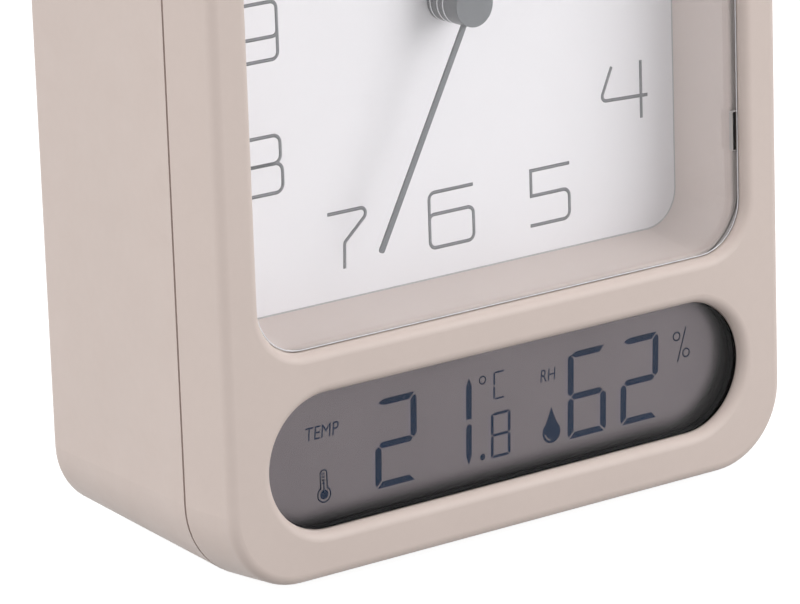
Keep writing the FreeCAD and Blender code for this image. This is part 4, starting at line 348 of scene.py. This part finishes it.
finishes = {
    "case": moulded("case_plastic", paint(218, 202, 194), 0.46, 0.012),
    # The shroud wears the case's colour a shade darker: painted shade for the deep recess round the
    # dial.
    "shroud": moulded("dial_frame_shaded_plastic", paint(203, 189, 183), 0.42, 0.012, grain=0.35),
    "lens": clear("dial_lens_acrylic", paint(255, 255, 255), 1.0, paint(186, 180, 178)),
    "window": clear("display_window_acrylic", paint(246, 245, 246), 0.1, paint(8, 8, 9)),
    "dial": dial_paper(),
    "hands": hand_lacquer(),
    # A pale line along the lens's front edge: painted glint of its polished bevel.
    "lens_edge_glint": moulded("lens_edge_painted_glint", paint(246, 246, 250), 0.25, 0.01, grain=0.4, depth=0.001),
    # A grey line round the dial's edge: painted shade where the card meets the shroud.
    "dial_edge_shade": moulded("dial_edge_painted_shade", paint(176, 174, 175), 0.6, 0.02, grain=0.3, depth=0.002),
    # Pale metal rings on the hubs' front edges: painted highlights of those edges.
    "hub_highlight_rims": brushed("hub_rim_painted_highlight", paint(226, 227, 230), 0.3, stretch=(1, 8, 1)),
    "inner": moulded("inner_black_plastic", paint(16, 16, 17), 0.55, 0.05, Specular_IOR_Level=0.25),
    "bracket": moulded("inner_grey_plastic", paint(196, 194, 190), 0.5, 0.03),
    "movement": moulded("movement_plastic", paint(214, 214, 210), 0.38, 0.03, grain=0.4),
    "movement_back": moulded("movement_black_plastic", paint(38, 38, 40), 0.42, 0.05, grain=0.4),
    "wheels": moulded("wheel_acetal", paint(232, 229, 220), 0.3, 0.03, grain=0.5, depth=0.003,
                      Subsurface_Weight=0.1),
    "dark_wheels": moulded("pinion_acetal", paint(70, 72, 78), 0.34, 0.04, grain=0.5, depth=0.003),
    "steel": brushed("screw_steel", paint(184, 186, 190), 0.3),
    "laminations": brushed("core_steel", paint(120, 120, 124), 0.42, stretch=(1, 14, 1), size=0.1,
                           depth=0.004),
    "plate": brushed("contact_nickel", paint(206, 204, 198), 0.26, stretch=(8, 1, 1), size=0.15),
    "copper": wound_wire(),
    "feet": moulded("foot_rubber", paint(150, 146, 144), 0.75, 0.05, grain=0.5, depth=0.02),
    "board": circuit_board("board_green", paint(22, 92, 58)),
    "chip": moulded("chip_epoxy", paint(24, 24, 26), 0.55, 0.08, grain=0.15, depth=0.012),
    "sensor": moulded("sensor_white", paint(222, 224, 226), 0.5, 0.03, grain=0.2, depth=0.01),
    "crystal": brushed("crystal_can", paint(196, 190, 172), 0.24, stretch=(10, 1, 1), size=0.1,
                       depth=0.002),
    "knobs": moulded("knob_plastic", paint(200, 186, 180), 0.5, 0.02, grain=0.3, depth=0.008),
    "switches": moulded("switch_black_plastic", paint(30, 30, 32), 0.45, 0.06),
    "buzzer": moulded("buzzer_black", paint(28, 28, 30), 0.4, 0.06, grain=0.3),
    "display": display_glass(),
    "foil": brushed("reflector_foil", paint(178, 178, 176), 0.35, stretch=(1, 1, 1), size=0.3,
                    depth=0.002),
    "strips": striped_rubber(),
    "leads": paired_leads(),
    "clock_cell": cell_jacket("clock_cell_sleeve", "clock_cell", RIGHT),
    "display_cell": cell_jacket("display_cell_sleeve", "display_cell", LEFT),
    "dial_print": moulded("dial_print_grey", paint(104, 105, 110), 0.55, 0.02, grain=0.2,
                          depth=0.003),
    "figures": moulded("segment_blue", paint(18, 36, 60), 0.6, 0.03, grain=0.3, depth=0.001,
                       Specular_IOR_Level=0.08),
    "figure_shadows": figure_shadow(),
    "label_print": moulded("label_print_grey", paint(120, 111, 108), 0.6, 0.03, grain=0.2,
                           depth=0.003),
}

worn_by = {
    "case": ["front_frame", "rear_case", "battery_door", "snooze_button", "unit_button"],
    "shroud": ["dial_shroud"],
    "lens": ["dial_lens"],
    "window": ["display_lens"],
    "dial": ["dial_card"],
    "hands": ["hour_hand", "minute_hand", "second_hand", "alarm_hand"],
    "inner": ["display_holder"],
    "bracket": ["snooze_bracket", "battery_tray", "dial_plate"],
    "movement": ["movement_front_shell", "movement_mid_plate"],
    "movement_back": ["movement_back_shell"],
    "wheels": ["alarm_wheel", "hour_wheel", "minute_wheel", "minute_work_wheel", "second_wheel",
               "third_wheel", "intermediate_wheel"],
    "dark_wheels": ["cannon_pinion", "rotor", "time_stem", "alarm_stem"],
    "steel": ["case_screws", "dial_screws", "movement_screws", "tray_screws", "display_screws"],
    "laminations": ["stator"],
    "plate": ["positive_contacts", "negative_contacts"],
    "copper": ["coil"],
    "feet": ["rubber_feet"],
    "board": ["movement_board", "display_board", "unit_board"],
    "chip": ["display_chip"],
    "sensor": ["climate_sensor"],
    "crystal": ["quartz_crystal"],
    "knobs": ["time_knob", "alarm_knob"],
    "switches": ["alarm_switch", "alarm_slider", "snooze_switch", "unit_switch"],
    "buzzer": ["alarm_buzzer"],
    "display": ["lcd_panel"],
    "foil": ["lcd_reflector"],
    "strips": ["zebra_strips"],
    "leads": ["battery_leads"],
    "clock_cell": ["clock_cell"],
    "display_cell": ["display_cell"],
}
for finish, nodes in worn_by.items():
    for name in nodes:
        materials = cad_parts[name].data.materials
        materials.clear()
        materials.append(finishes[finish])


# Drawing flat artwork and fixing it to the clock

FACINGS = {"front": (pi / 2, 0, 0), "back": (pi / 2, 0, pi), "top": (0, 0, 0)}
RING_STEPS, ARC_STEPS = 24, 8


def deselect():
    bpy.ops.object.select_all(action="DESELECT")


def take_up(piece):
    """Selects this piece alone."""
    deselect()
    piece.select_set(True)
    bpy.context.view_layer.objects.active = piece


def fix(piece, body, finish):
    """Gives a finished mesh its material and fixes it to the body that carries it."""
    piece.data.materials.clear()
    piece.data.materials.append(finishes[finish])
    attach(piece, body)


def settle(piece, place, facing, body, finish):
    """Turns finished artwork from the ground onto its face and fixes it there."""
    take_up(piece)
    piece.rotation_euler = FACINGS[facing]
    piece.location = place
    bpy.ops.object.transform_apply(location=True, rotation=True, scale=True)
    fix(piece, body, finish)


def as_mesh(piece):
    take_up(piece)
    bpy.ops.object.convert(target="MESH")
    return bpy.context.view_layer.objects.active


def on_ring(x, z, radius, angle):
    return Vector((x + radius * cos(angle), z + radius * sin(angle)))


def ring(x, z, radius):
    """A circle's points."""
    return [on_ring(x, z, radius, 2 * pi * step / RING_STEPS) for step in range(RING_STEPS)]


def rounded_path(points, closed=False):
    """Points from corners given as across, up and radius, with an arc where there is a radius."""
    way = []
    count = len(points)
    for index, (x, z, radius) in enumerate(points):
        at_end = not closed and index in (0, count - 1)
        here = Vector((x, z))
        if radius == 0 or at_end:
            way.append(here)
            continue
        back = (Vector(points[index - 1][:2]) - here).normalized()
        on = (Vector(points[(index + 1) % count][:2]) - here).normalized()
        half = back.angle(on) / 2
        centre = here + (back + on).normalized() * radius / sin(half)
        start, end = (here + side * radius / tan(half) - centre for side in (back, on))
        first = atan2(start.y, start.x)
        turn = (atan2(end.y, end.x) - first + pi) % (2 * pi) - pi
        way += [centre + on_ring(0, 0, radius, first + turn * step / ARC_STEPS)
                for step in range(ARC_STEPS + 1)]
    return way


def new_curve(name, dimensions, paths):
    """Straight runs in millimetres. Each path is its points and whether it closes."""
    curve = bpy.data.curves.new(name, "CURVE")
    curve.dimensions = dimensions
    for way, closed in paths:
        spline = curve.splines.new("POLY")
        spline.points.add(len(way) - 1)
        spline.use_cyclic_u = closed
        for point, here in zip(spline.points, way):
            point.co = (here[0] * MM, here[1] * MM, 0, 1)
    piece = bpy.data.objects.new(name, curve)
    bpy.context.collection.objects.link(piece)
    return piece


def strokes(name, paths, width):
    """Lines of one width, flattened to ink, as wide at their corners as along their runs."""
    sharpest = 0.3
    piece = new_curve(name, "3D", paths)
    curve = piece.data
    curve.twist_mode = "Z_UP"
    curve.bevel_depth = width * MM / 2
    curve.bevel_resolution = 0
    curve.use_fill_caps = True
    for spline, (way, closed) in zip(curve.splines, paths):
        count = len(way)
        for index in range(count) if closed else range(1, count - 1):
            back, on = way[index] - way[index - 1], way[(index + 1) % count] - way[index]
            spline.points[index].radius = 1 / max(cos(back.angle(on) / 2), sharpest)
    piece = as_mesh(piece)
    piece.scale = (1, 1, PRINT / (width * MM))
    return piece


def filled(name, outlines):
    """Flat areas, each a closed outline in millimetres. One inside another is a hole."""
    piece = new_curve(name, "2D", [(outline, True) for outline in outlines])
    piece.data.fill_mode = "FRONT"
    return as_mesh(piece)


def lettering(name, words, height, width=None, lean=0.0):
    """Words about the origin, their capitals of this height, squeezed to a width if one is given."""
    capital_share = 0.7
    deselect()
    bpy.ops.object.text_add()
    piece = bpy.context.active_object
    piece.name = name
    piece.data.body = words
    piece.data.shear = lean
    piece.data.size = height * MM / capital_share
    piece = as_mesh(piece)
    low = Vector(min(v.co[axis] for v in piece.data.vertices) for axis in range(3))
    high = Vector(max(v.co[axis] for v in piece.data.vertices) for axis in range(3))
    tall = height * MM / (high.y - low.y)
    wide = width * MM / (high.x - low.x) if width else tall
    squeeze = Matrix.Diagonal((wide, tall, 1, 1))
    piece.data.transform(squeeze @ Matrix.Translation(-(low + high) / 2))
    return piece


# The dial's print: each glyph about its own middle, its corners as across, up and radius

EIGHT_TOP = [(-4, 4.5, 1.3), (4, 4.5, 1.3), (4, 0.15, 1.3), (-4, 0.15, 1.3)]
EIGHT_FOOT = [(-4.25, 0.15, 1.3), (4.25, 0.15, 1.3), (4.25, -4.4, 1.3), (-4.25, -4.4, 1.3)]
ONE = [(-1.4, 3.4, 0), (0, 4.45, 0), (0, -4.45, 0)]
TWO = [(-3.9, 4.45, 0), (3.9, 4.45, 1.2), (3.9, 0.2, 1.2), (-3.9, 0.2, 1.2), (-3.9, -4.45, 0),
       (3.9, -4.45, 0)]
THREE_TOP = [(-3.9, 4.45, 0), (3.9, 4.45, 1.2), (3.9, 0.2, 1.2), (-2.4, 0.2, 0)]
THREE_FOOT = [(-2.4, 0.2, 0), (3.9, 0.2, 1.2), (3.9, -4.45, 1.2), (-3.9, -4.45, 0)]
FOUR_BENT = [(-3.3, 4.4, 0), (-5.7, -0.9, 0.8), (4.0, -1.3, 0)]
FOUR_UPRIGHT = [(2.65, 4.5, 0), (2.65, -4.9, 0)]
FIVE = [(3.9, 4.45, 0), (-3.9, 4.45, 0), (-3.9, 0.35, 0), (3.75, 0.35, 1.2), (3.75, -4.45, 1.2),
        (-4.2, -4.45, 0)]
SIX = [(4.4, 4.4, 0), (-4.25, 4.4, 1.1), (-4.25, -4.45, 1.1), (4.35, -4.45, 1.1), (4.35, 0.9, 1.1),
       (-4.25, 0.9, 0.9), (-4.25, -0.2, 0)]
SEVEN = [(-3.95, 4.5, 0), (4.8, 4.5, 0.9), (-0.85, -0.4, 0.8), (-1.0, -4.5, 0)]
NINE = [(-x, -z, radius) for x, z, radius in SIX]
ZERO = [(-3, 4.45, 1.3), (3, 4.45, 1.3), (3, -4.45, 1.3), (-3, -4.45, 1.3)]
CLOSED_GLYPHS = (EIGHT_TOP, EIGHT_FOOT, ZERO)

SIDE, INNER = 36, 19.8
TOP_ROW, MIDDLE_ROW = 34.7, 20.6
NUMERAL_STROKE = 0.57

dial_lines = []
for glyph, x, z, width in [
    (ONE, -4.2, TOP_ROW, 0.9), (TWO, 1.6, TOP_ROW, 0.72),
    (ONE, INNER, TOP_ROW, 1),
    (TWO, SIDE, MIDDLE_ROW, 1),
    (THREE_TOP, SIDE, 0, 1), (THREE_FOOT, SIDE, 0, 1),
    (FOUR_BENT, SIDE, -MIDDLE_ROW, 1), (FOUR_UPRIGHT, SIDE, -MIDDLE_ROW, 1),
    (FIVE, INNER, -TOP_ROW, 1),
    (SIX, 0, -TOP_ROW, 1),
    (SEVEN, -INNER, -TOP_ROW, 1),
    (EIGHT_TOP, -SIDE, -MIDDLE_ROW, 1), (EIGHT_FOOT, -SIDE, -MIDDLE_ROW, 1),
    (NINE, -SIDE, 0, 1),
    (ONE, -40.2, MIDDLE_ROW, 0.9), (ZERO, -34.2, MIDDLE_ROW, 0.85),
    (ONE, -21.8, TOP_ROW, 0.9), (ONE, -17.4, TOP_ROW, 0.9),
]:
    corners = [(x + width * across, z + up, radius) for across, up, radius in glyph]
    closed = glyph in CLOSED_GLYPHS
    dial_lines.append((rounded_path(corners, closed), closed))
settle(strokes("dial_numerals", dial_lines, NUMERAL_STROKE), (0, DIAL_FACE, HUB_HEIGHT), "front",
       "case", "dial_print")


# Painted shade and highlights in the dial's window

# A black block in the notch of the lens's edge: painted shade where the notch looks dark.
NOTCH_SHADE_PLACE = (46.75 * MM, LENS_FACE + 1.0 * MM, HUB_HEIGHT - 26.8 * MM)
NOTCH_SHADE_SIZE = (0.8 * MM, 1.4 * MM, 6.2 * MM)
NOTCH_SHADE_EDGE = 0.12 * MM

deselect()
bpy.ops.mesh.primitive_cube_add(size=1, location=NOTCH_SHADE_PLACE, scale=NOTCH_SHADE_SIZE)
notch_shade = bpy.context.active_object
notch_shade.name = "lens_notch_shade"
bpy.ops.object.transform_apply(location=True, rotation=True, scale=True)
rounding = notch_shade.modifiers.new("rounding", "BEVEL")
rounding.width = NOTCH_SHADE_EDGE
rounding.segments = 3
bpy.ops.object.modifier_apply(modifier=rounding.name)
bpy.ops.object.shade_smooth_by_angle(angle=radians(40))
fix(notch_shade, "case", "inner")


def window_line(name, node, border, radius, width, finish):
    """A thin line on a piece's front, a border in from its outline, in millimetres."""
    low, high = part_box(node)
    half_wide, half_high = ((high - low) / 2 / MM).xz
    across, up = half_wide - border, half_high - border
    corners = [(side * across, rise * up, radius)
               for side, rise in ((-1, 1), (1, 1), (1, -1), (-1, -1))]
    line = strokes(name, [(rounded_path(corners, True), True)], width)
    settle(line, (0, low.y, HUB_HEIGHT), "front", "case", finish)


# A pale line at the lens's front edge: painted glint.
window_line("lens_glint_line", "dial_lens", 1.75, 8.0, 0.2, "lens_edge_glint")
# A grey line round the dial's edge: painted shade where the card meets the shroud.
window_line("dial_shade_line", "dial_card", 3.175, 6.0, 0.44, "dial_edge_shade")

RIM_RADIUS, RIM_WIRE, RIM_SET_BACK = 3.47 * MM, 0.085 * MM, 0.05 * MM

# Pale rings at the hubs' front edges: painted highlights where the edges catch the light.
for hand, body in (("alarm_hand", "alarm_display"), ("hour_hand", "hour_display"),
                   ("minute_hand", "minute_display")):
    hub_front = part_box(hand)[0].y
    deselect()
    bpy.ops.mesh.primitive_torus_add(
        major_segments=72, minor_segments=8, major_radius=RIM_RADIUS, minor_radius=RIM_WIRE,
        location=(0, hub_front + RIM_SET_BACK, HUB_HEIGHT), rotation=(pi / 2, 0, 0),
    )
    rim = bpy.context.active_object
    rim.name = hand + "_rim"
    bpy.ops.object.transform_apply(location=True, rotation=True, scale=True)
    bpy.ops.object.shade_smooth()
    fix(rim, body, "hub_highlight_rims")


# The display's marks

LEAN = 0.034


def digit(left, right, top, middle, bottom, width, upright, lit, gap=0.3, shift=0.0):
    """The lit bars of a seven-bar figure: a point where three meet, a mitre at a corner.

    Its sides and levels run along the middles of the bars. Width is that of the level bars, upright
    that of the others.
    """
    left, right = left + shift, right + shift
    half, step = width / 2, gap / 2
    bars = {
        "top": [(left, top), (left + width, top + half), (right + half - gap, top + half),
                (right - half - gap, top - half), (left + width, top - half)],
        "middle": [(left + step, middle), (left + step + half, middle + half),
                   (right - step - half, middle + half), (right - step, middle),
                   (right - step - half, middle - half), (left + step + half, middle - half)],
        "bottom": [(left + half + gap, bottom + half), (right - half - gap, bottom + half),
                   (right + half - gap, bottom - half), (left - half + gap, bottom - half)],
    }
    for side, x, out in (("left", left, -upright / 2), ("right", right, upright / 2)):
        bars["upper " + side] = [
            (x - out, top - half - step), (x, top), (x + out * 0.7, top), (x + out, top - half),
            (x + out, middle + half + step), (x, middle + step), (x - out, middle + half + step),
        ]
        bars["lower " + side] = [
            (x - out, middle - half - step), (x, middle - step), (x + out, middle - half - step),
            (x + out, bottom + half * 0.6), (x + out * 0.6, bottom - half * 0.4),
            (x - out, bottom + half + step),
        ]
    return [bars[bar] for bar in lit]


C_BARS = ["top", "upper left", "lower left", "bottom"]
TWO_BARS = ["top", "upper right", "middle", "lower left", "bottom"]
SIX_BARS = ["top", "upper left", "middle", "lower left", "lower right", "bottom"]
EIGHT_BARS = [*SIX_BARS, "upper right"]
ONE_BARS = [
    [(-6.74, 5.0), (-6.18, 6.35), (-5.62, 5.1), (-5.62, -0.35), (-6.3, -0.2), (-6.74, -0.35)],
    [(-6.74, -1.6), (-6.18, -1.0), (-5.62, -1.3), (-5.62, -6.1), (-6.18, -7.6), (-6.74, -6.1)],
]
TALL = {"top": 5.9, "middle": -0.87, "bottom": -7.15, "width": 1.03, "upright": 1.22}
SMALL = {"top": -0.45, "middle": -3.85, "bottom": -7.3, "width": 0.46, "upright": 0.56, "gap": 0.16}
UNIT = {"top": 6.2, "middle": 4.1, "bottom": 2.0, "width": 0.3, "upright": 0.36, "gap": 0.2}


def figures(shift=0.0):
    """The lit bars of all the figures, leaning as the display's do, moved across by the shift."""
    bars = digit(-23.7, -16.92, lit=TWO_BARS, shift=shift, **TALL)
    bars += [[(shift + x, z) for x, z in bar] for bar in ONE_BARS]
    bars += digit(14.05, 20.64, lit=SIX_BARS, shift=shift, **TALL)
    bars += digit(24.8, 31.35, lit=TWO_BARS, shift=shift, **TALL)
    bars += digit(-1.6, 1.75, lit=EIGHT_BARS, shift=shift, **SMALL)
    bars += digit(-1.2, 0.95, lit=C_BARS, shift=shift, **UNIT)
    return [[(x + LEAN * z, z) for x, z in bar] for bar in bars]


SHADOW_SHIFT, SHADOW_DROP = -0.55, 0.15 * MM
DROP_X, DROP_Z, DROP_RADIUS, DROP_TIP = 10.0, -5.7, 1.8, (10.1, -1.6)
SHINE_OUTER, SHINE_INNER = 1.36, 1.14
BULB_X, BULB_Z, BULB_RADIUS, GLASS_RADIUS = -34.2, -6.3, 0.78, 1.22
TUBE_HALF, TUBE_TOP, TUBE_FOOT = 0.62, -2.4, -5.3
ICON_STROKE = 0.23

decimal_point = ring(-3.73, -6.87, 0.52)
bulb = ring(BULB_X, BULB_Z, BULB_RADIUS)
water = [on_ring(DROP_X, DROP_Z, DROP_RADIUS, radians(-142 + 284 * step / 32) - pi / 2)
         for step in range(33)]
water.append(DROP_TIP)
shine = [on_ring(DROP_X, DROP_Z, SHINE_OUTER, radians(angle)) for angle in range(188, 262, 6)]
shine += [on_ring(DROP_X, DROP_Z, SHINE_INNER, radians(angle)) for angle in range(260, 186, -6)]


def on_display(piece, finish="figures", x=0.0, z=0.0, set_back=0.0):
    """Settles marks on the glass, x and z in metres from the middle of the window."""
    place = (x, DISPLAY_FACE + set_back, DISPLAY_HEIGHT + z)
    settle(piece, place, "front", "case", finish)


on_display(filled("display_shadows", figures(SHADOW_SHIFT)), "figure_shadows", z=-SHADOW_DROP,
           set_back=PRINT / 4)
on_display(filled("display_figures", [*figures(), decimal_point, bulb, water, shine]))

glass = rounded_path([
    (BULB_X - TUBE_HALF, TUBE_FOOT, 0), (BULB_X - TUBE_HALF, TUBE_TOP, 0.6),
    (BULB_X + TUBE_HALF, TUBE_TOP, 0.6), (BULB_X + TUBE_HALF, TUBE_FOOT, 0),
])
glass += [on_ring(BULB_X, BULB_Z, GLASS_RADIUS, radians(58 - 296 * step / 16)) for step in range(17)]
fine_lines = [(glass, True), ([Vector((BULB_X, -4.2)), Vector((BULB_X, -6.0))], False)]
for height in (-3.0, -3.5, -4.0, -4.5):
    tick = [Vector((BULB_X - 0.35, height)), Vector((BULB_X + 0.15, height))]
    fine_lines.append((tick, False))
degree = ring(-3.28, 5.48, 0.6)
percent_rings = [ring(35.9, 4.75, 0.68), ring(37.8, 1.73, 0.68)]
percent_line = [Vector((37.86, 6.0)), Vector((36.0, 0.5))]
fine_lines += [(circle, True) for circle in (degree, *percent_rings)]
fine_lines.append((percent_line, False))
on_display(strokes("display_icons", fine_lines, ICON_STROKE))

for name, words, x, z, height, width in (
    ("display_word_temperature", "TEMP", -34.15, 3.7, 2.1, 6.3),
    ("display_word_humidity", "RH", 9.6, 3.72, 2.0, 3.1),
):
    on_display(lettering(name, words, height, width, lean=0.12), x=x * MM, z=z * MM)


# Function words behind and on top

SWITCH_WORDS_AWAY = 15.2 * MM
ARROWS_ABOVE_KNOBS, WORDS_BELOW_KNOBS = 15.6 * MM, 9.0 * MM
WORD_BELOW_UNIT = 2.6 * MM
OPEN_WORD_DOWN, OPEN_ARROW_DOWN = 8.5 * MM, 11.6 * MM
ARROW_RADIUS, ARROW_STROKE = 6.4, 0.4

time_x, alarm_x = middle_of("time_knob").x, middle_of("alarm_knob").x
below_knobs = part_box("time_knob")[0].z - WORDS_BELOW_KNOBS
unit_x, below_unit = middle_of("unit_button").x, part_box("unit_button")[0].z - WORD_BELOW_UNIT
door_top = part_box("battery_door")[1].z

for name, words, height, place, body in (
    ("label_time", "TIME", 2.2, (time_x, BACK_FACE, below_knobs), "case"),
    ("label_alarm", "ALARM", 2.2, (alarm_x, BACK_FACE, below_knobs), "case"),
    ("label_on", "ON", 1.8, (0, BACK_FACE, HUB_HEIGHT + SWITCH_WORDS_AWAY), "case"),
    ("label_off", "OFF", 1.8, (0, BACK_FACE, HUB_HEIGHT - SWITCH_WORDS_AWAY), "case"),
    ("label_unit", "°C / °F", 2.0, (unit_x, BACK_FACE, below_unit), "case"),
    ("label_open", "OPEN", 2.0, (0, DOOR_FACE, door_top - OPEN_WORD_DOWN), "door"),
):
    settle(lettering(name, words, height), place, "back", body, "label_print")

settle(filled("label_open_arrow", [[(-1.6, 0.9), (1.6, 0.9), (0, -0.9)]]),
       (0, DOOR_FACE, door_top - OPEN_ARROW_DOWN), "back", "door", "label_print")

for name, knob in (("arrow_time", "time_knob"), ("arrow_alarm", "alarm_knob")):
    arc = [on_ring(0, -ARROW_RADIUS, ARROW_RADIUS, radians(angle)) for angle in range(62, 119, 4)]
    tip = arc[0]
    head = [tip + Vector((-1.0, 1.1)), tip, tip + Vector((-1.5, -0.3))]
    arrow = strokes(name, [(arc, False), (head, False)], ARROW_STROKE)
    centre = middle_of(knob)
    settle(arrow, (centre.x, BACK_FACE, centre.z + ARROWS_ABOVE_KNOBS), "back", "case",
           "label_print")

settle(lettering("label_snooze", "SNOOZE", 2.0), (0, middle_of("snooze_button").y, SNOOZE_FACE),
       "top", "snooze", "label_print")


# Studio

def floor_paper():
    """Pale paper: the camera, gloss and glass see it as white, and it keeps the clock's shadow."""
    made = Finish("studio_paper", paint(150, 150, 150), 0.8)
    made.mottle(0.004, 120.0, 4.0)
    rays = made.node("ShaderNodeLightPath").outputs
    seen = made.maths("MAXIMUM", rays["Is Camera Ray"], rays["Is Glossy Ray"])
    seen = made.maths("MAXIMUM", seen, rays["Is Transmission Ray"])
    paper = made.shader.outputs["BSDF"]
    glow = made.node("ShaderNodeEmission", Color=(1, 1, 1, 1), Strength=0.92)
    lit = made.node("ShaderNodeAddShader")
    made.feed(lit.inputs[0], paper)
    made.feed(lit.inputs[1], glow.outputs["Emission"])
    made.show(made.blend(seen, paper, lit.outputs["Shader"]))
    return made.material


deselect()
bpy.ops.mesh.primitive_plane_add(size=12)
floor = bpy.context.active_object
floor.name = "studio_floor"
floor.data.materials.append(floor_paper())


def soft_box(name, place, size, power):
    """A square lamp turned to the clock's middle."""
    clock_middle = Vector((0, 0, 0.07))
    lamp = bpy.data.lights.new(name, "AREA")
    lamp.shape = "SQUARE"
    lamp.size = size
    lamp.energy = power
    holder = bpy.data.objects.new(name, lamp)
    holder.location = place
    holder.rotation_euler = (clock_middle - Vector(place)).to_track_quat("-Z", "Y").to_euler()
    bpy.context.collection.objects.link(holder)


soft_box("light_left", (-1.5, 0.05, 0.8), 1.2, 12.8)
soft_box("light_right", (0.8, -0.95, 0.55), 1.0, 9.6)
soft_box("light_above", (0.0, 0.1, 1.7), 1.4, 8)

world = bpy.data.worlds.new("studio_air")
bpy.context.scene.world = world
world.use_nodes = True
air = world.node_tree.nodes["Background"].inputs
air["Color"].default_value = (1, 1, 1, 1)
air["Strength"].default_value = 0.5


def place_camera(azimuth, elevation, roll, target, distance, lens):
    """A camera that looks at the target, its angles in degrees, leant by the roll."""
    turn, rise, lean = (radians(angle) for angle in (azimuth, elevation, roll))
    back = Vector((sin(turn) * cos(rise), -cos(turn) * cos(rise), sin(rise)))
    level = Vector((cos(turn), sin(turn), 0))
    down = (-back).cross(level)
    right = cos(lean) * level - sin(lean) * down
    below = sin(lean) * level + cos(lean) * down
    data = bpy.data.cameras.new("view_of_the_clock")
    data.lens = lens
    data.sensor_width = 36.0
    camera = bpy.data.objects.new("view_of_the_clock", data)
    bpy.context.collection.objects.link(camera)
    turned = Matrix((right, -below, back)).transposed().to_4x4()
    camera.matrix_world = Matrix.Translation(Vector(target) + back * distance) @ turned
    bpy.context.scene.camera = camera


place_camera(azimuth=-36.6457, elevation=15.4634, roll=-1.93754,
             target=(-0.021748, -0.0258, 0.041811), distance=0.751805, lens=224.19)
bpy.context.scene.view_settings.view_transform = "Standard"

bpy.context.view_layer.update()
